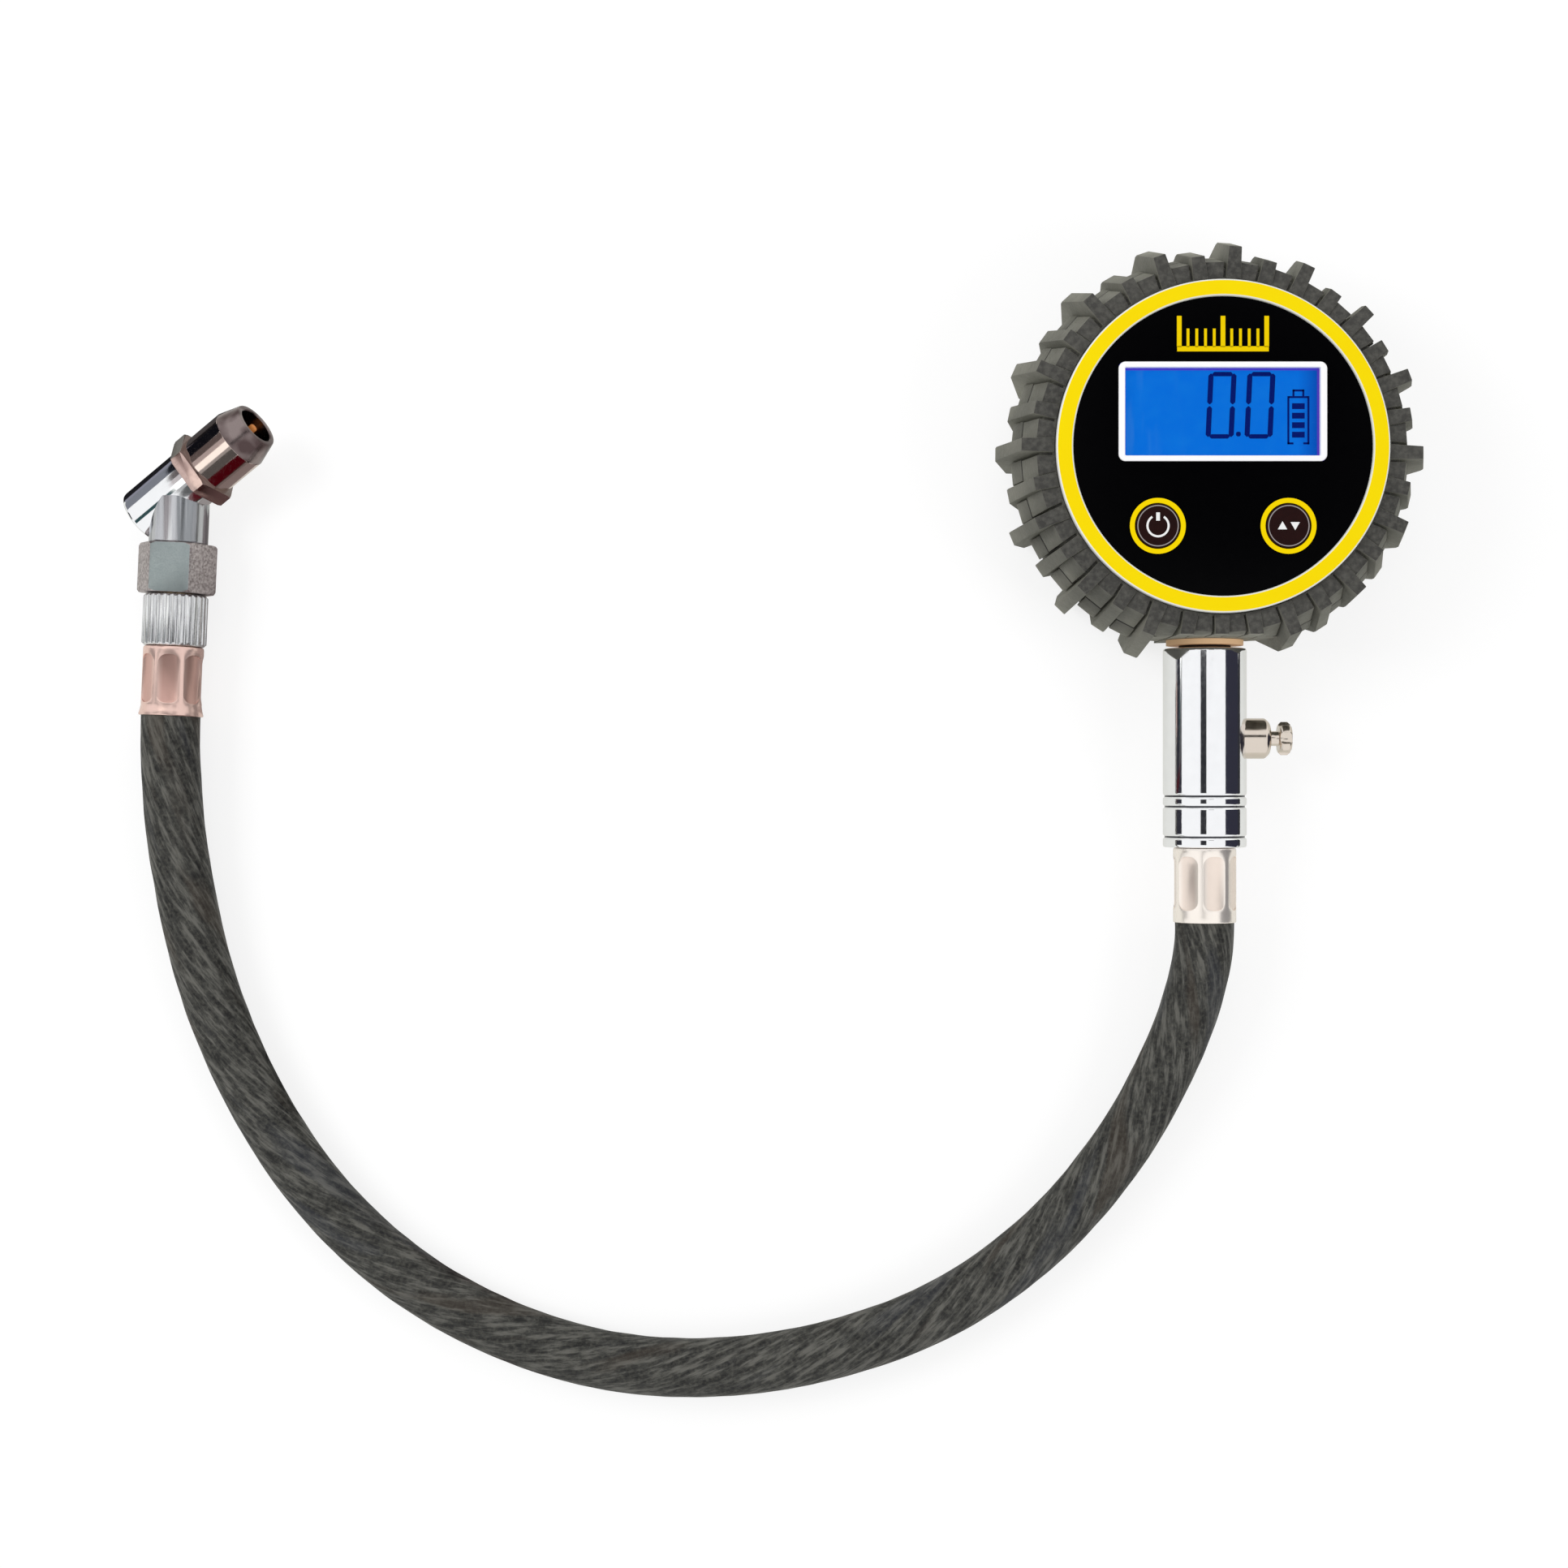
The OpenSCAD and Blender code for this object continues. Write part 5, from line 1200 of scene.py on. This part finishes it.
redWire, blackWire = srgb(180, 20, 16), srgb(16, 16, 16)
domeGrey = srgb(120, 120, 118)
nodeFinishes = {
    "case_back": blackPlasticMat, "case_front": blackPlasticMat, "battery_door": blackPlasticMat,
    "case_gasket": sealRubberMat, "dial_panel": dialBlackMat, "display_window": windowClearMat,
    "lcd_glass": displayBlue(display["centre"], display["size"]),
    "lcd_backlight": whitePlasticMat, "lcd_holder": whitePlasticMat,
    "lcd_strips": softRubber("stripRubber", srgb(190, 110, 120)), "circuit_board": solderResist(),
    "board_parts": mouldedPlastic("chipBlack", srgb(24, 24, 26)),
    "power_button": buttonBrownMat, "unit_button": buttonBrownMat,
    "power_ring": ringYellow("power_ring"), "unit_ring": ringYellow("unit_ring"),
    "power_dome": softRubber("domeRubber", domeGrey), "unit_dome": softRubber("domeRubber", domeGrey),
    "battery_cells": cellSleeve(), "battery_contacts": steelMat,
    "battery_wires": wireColours("batteryWires", 1, redWire, srgb(60, 60, 60), blackWire),
    "sensor_wires": wireColours("sensorWires", 0, redWire, srgb(220, 220, 210), blackWire),
    "door_screw": steelMat, "case_screws": steelMat, "port_fitting": flangeCopperMat, "port_nut": brassMat,
    "port_washer": sealRubberMat, "port_seal": sealRubberMat, "pressure_sensor": steelMat,
    "bleed_spring": steelMat, "bleed_seal": sealRubberMat, "gauge_barb": brassMat, "chuck_barb": brassMat,
    "swivel_oring": sealRubberMat, "swivel_clip": steelMat, "chuck_seal": sealRubberMat,
    "depressor_pin": pinBrassMat, "depressor_spring": steelMat,
}

for nodeName, nodeFinish in nodeFinishes.items():
    for materialSlot in frame["nodes"][nodeName].material_slots:
        materialSlot.material = nodeFinish
print("nodes finished:", len(nodeFinishes))


# floor, lamps and reflectors

studio = {
    "worldLight": 0.48,      # what the world gives to the surfaces; seen directly it is white
    "floorBounce": 0.8, "floorColour": 0.3, "floorWhite": 0.76, "floorMirror": (0.54, 0.54, 0.5),
    "floorSize": 6, "floorHeight": -0.0002, "lampSize": 0.5,      # metres
}
lamps = {      # place and aim in metres, power in watts
    "leftLamp": ((-0.75, 0.15, 0.7), (-0.05, -0.05, 0.02), 3.7),
    "rightLamp": ((0.65, -0.35, 0.75), (-0.05, -0.05, 0.02), 2.4),
    "topLamp": ((-0.05, 0.55, 0.8), (-0.05, 0, 0.02), 1.1),
}


def seenDirectly(material):      # 1 for camera, mirror and glass rays
    path = addNode(material, "LightPath").outputs
    mirrored = calc(material, "MAXIMUM", path["Is Camera Ray"], path["Is Glossy Ray"])
    return calc(material, "MAXIMUM", mirrored, path["Is Transmission Ray"])


def bareMaterial(name):      # without a shader yet
    material = bpy.data.materials.new(name)
    material.use_nodes = True
    material.node_tree.nodes.remove(shaderOf(material))
    return material


def setSurface(material, shader):
    plug(material, shader.outputs[0], material.node_tree.nodes["Material Output"].inputs["Surface"])


def makeWorld():
    world = bpy.data.worlds.new("studioWorld")
    bpy.context.scene.world = world
    world.use_nodes = True
    background = world.node_tree.nodes["Background"].inputs
    plug(world, (1, 1, 1), background["Color"])
    plug(world, mapValue(world, seenDirectly(world), 0, 1, studio["worldLight"], 1), background["Strength"])


def makeFloor():
    deselectAll()
    bpy.ops.mesh.primitive_plane_add(size=studio["floorSize"], location=(0, 0, studio["floorHeight"]))
    floor = bpy.context.object
    floor.name = "floor"
    material = bareMaterial("floorWhite")
    bounce = addNode(material, "BsdfDiffuse", {"Color": (studio["floorBounce"],) * 3})
    paper = addNode(material, "BsdfDiffuse", {"Color": (studio["floorColour"],) * 3})
    glossy = addNode(material, "LightPath").outputs["Is Glossy Ray"]
    shine = mixColours(material, glossy, (studio["floorWhite"],) * 3, studio["floorMirror"])
    lit = addNode(material, "Emission", {"Color": shine})
    both = addNode(material, "AddShader", {0: paper.outputs[0], 1: lit.outputs[0]})
    setSurface(material, addNode(material, "MixShader", {0: seenDirectly(material), 1: bounce.outputs[0],
                                                         2: both.outputs[0]}))
    floor.data.materials.append(material)


def addLamp(name, place, aim, power):
    data = bpy.data.lights.new(name, "AREA")
    data.size = studio["lampSize"]
    data.energy = power
    lamp = bpy.data.objects.new(name, data)
    lamp.location = place
    lamp.rotation_euler = (Vector(aim) - Vector(place)).to_track_quat("-Z", "Y").to_euler()
    lamp.visible_glossy = False      # metals mirror the white room and the cards instead
    bpy.context.scene.collection.objects.link(lamp)


def mirrorCard(name, centre, facing, width, height, colour, upright=(0, 0, 1)):
    # seen only in mirroring surfaces; metres
    deselectAll()
    bpy.ops.mesh.primitive_plane_add(size=1)
    piece = bpy.context.object
    piece.name = name
    piece.scale = (width, height, 1)
    bpy.ops.object.transform_apply()
    putPiece(piece, axisPlace(Vector(centre), Vector(facing), Vector(upright)))
    material = bareMaterial(name)
    setSurface(material, addNode(material, "Emission", {"Color": colour}))
    piece.data.materials.append(material)
    for rays in ("camera", "diffuse", "shadow", "transmission", "volume_scatter"):
        setattr(piece, "visible_" + rays, False)


# cards round the chuck's head: from and to in degrees round its axis, 0 upwards and 90 to its left; colour
noseTent = [(90, 50, (0.006, 0.007, 0.011)), (50, 28, (0.13, 0.11, 0.11)), (28, 12, (0.55, 0.5, 0.5)),
            (12, -10, (1.5, 1.5, 1.45)), (-10, -20, (0.42, 0.42, 0.42)), (-20, -50, (0.11, 0.11, 0.11)),
            (-50, -90, (0.075, 0.002, 0.006))]
headTent = [(104, 52, (0.21, 0.22, 0.25)), (3, -9, (0.03, 0.07, 0.075))]
tent = {
    "radius": 0.08, "length": 0.034, "tilt": 24,      # metres, degrees towards the rear
    "noseMiddle": 23, "headMiddle": -11.4,            # mm along the head
}


def makeTent(name, along, stripes):
    left = Vector((0, 0, 1)).cross(headDir).normalized()
    up = headDir.cross(left)
    tilt, radius = math.radians(tent["tilt"]), tent["radius"]
    for i, (start, end, colour) in enumerate(stripes):
        middle = math.radians((start + end) / 2)
        aim = math.cos(tilt) * (math.sin(middle) * left + math.cos(middle) * up) - math.sin(tilt) * headDir
        width = radius * math.cos(tilt) * math.radians(start - end)
        mirrorCard(name + str(i), chuckCentre + along * mm * headDir + radius * aim, -aim, width,
                   tent["length"], colour, headDir)


# cards on the floor beside the head, seen only in its mirroring metal; the dark near ones are painted shade,
# standing in for the floor's shadow. Columns: side (1 is its left), out from it and along it in mm, colour
floorSlant, floorLift = 0.36, 0.5      # how far they lean back from square to the head; mm above the floor
floorCards = [(1, (6, 46), (8, 24), (0.08, 0.08, 0.085)), (1, (46, 220), (8, 24), (0.01, 0.01, 0.012)),
              (1, (6, 40), (-14, 8), (0.012, 0.012, 0.014)), (1, (40, 200), (-14, 8), (0.25, 0.25, 0.3)),
              (-1, (8, 75), (8, 24), (0.27, 0.23, 0.23)), (-1, (75, 220), (8, 24), (0.075, 0.002, 0.006)),
              (-1, (6, 50), (-14, 8), (0.3, 0.27, 0.26))]


def makeFloorCards():
    skyward = Vector((0, 0, 1))
    ahead = Vector((headDir.x, headDir.y, 0)).normalized()
    for i, (side, out, across, colour) in enumerate(floorCards):
        outward = (side * skyward.cross(ahead) - floorSlant * ahead).normalized()
        forward = side * outward.cross(skyward)
        centre = chuckCentre + sum(out) / 2 * mm * outward + sum(across) / 2 * mm * forward
        centre.z = floorLift * mm
        mirrorCard("floorCard" + str(i), centre, skyward, (across[1] - across[0]) * mm,
                   (out[1] - out[0]) * mm, colour, outward)


# flat cards about the stem and the dial: place, facing, width and height in metres, colour, upward side
roomCards = {
    "stemCard": ((-0.15, -0.075, 0.7), (0, 0, -1), 0.2, 0.15, srgb(47, 47, 51), (0, 1, 0)),
    "dialCard": ((0.118, 0.096, 0.7), (0, 0, -1), 0.18, 0.168, (0, 0, 0), (0, 1, 0)),
    "leftCard": ((-0.56, -0.075, 0), (1, 0, 0), 0.14, 0.34, srgb(48, 48, 56)),
    "leftFloorCard": ((-0.18, -0.095, 0.0005), (0, 0, 1), 0.06, 0.1, srgb(62, 62, 58), (0, 1, 0)),
    "rightCard": ((0.22, -0.095, 0.07), (-1, 0, 0), 0.19, 0.27, srgb(50, 50, 62)),
    "rightFloorCard": ((0.15, -0.078, 0.0005), (0, 0, 1), 0.14, 0.085, srgb(50, 50, 54), (0, 1, 0)),
}

makeWorld()
makeFloor()
for lampName, lamp in lamps.items():
    addLamp(lampName, *lamp)
for cardName, card in roomCards.items():
    mirrorCard(cardName, *card)
makeTent("noseCard", tent["noseMiddle"], noseTent)
makeTent("headCard", tent["headMiddle"], headTent)
makeFloorCards()
bpy.context.scene.view_settings.view_transform = "Standard"
print("studio ready")
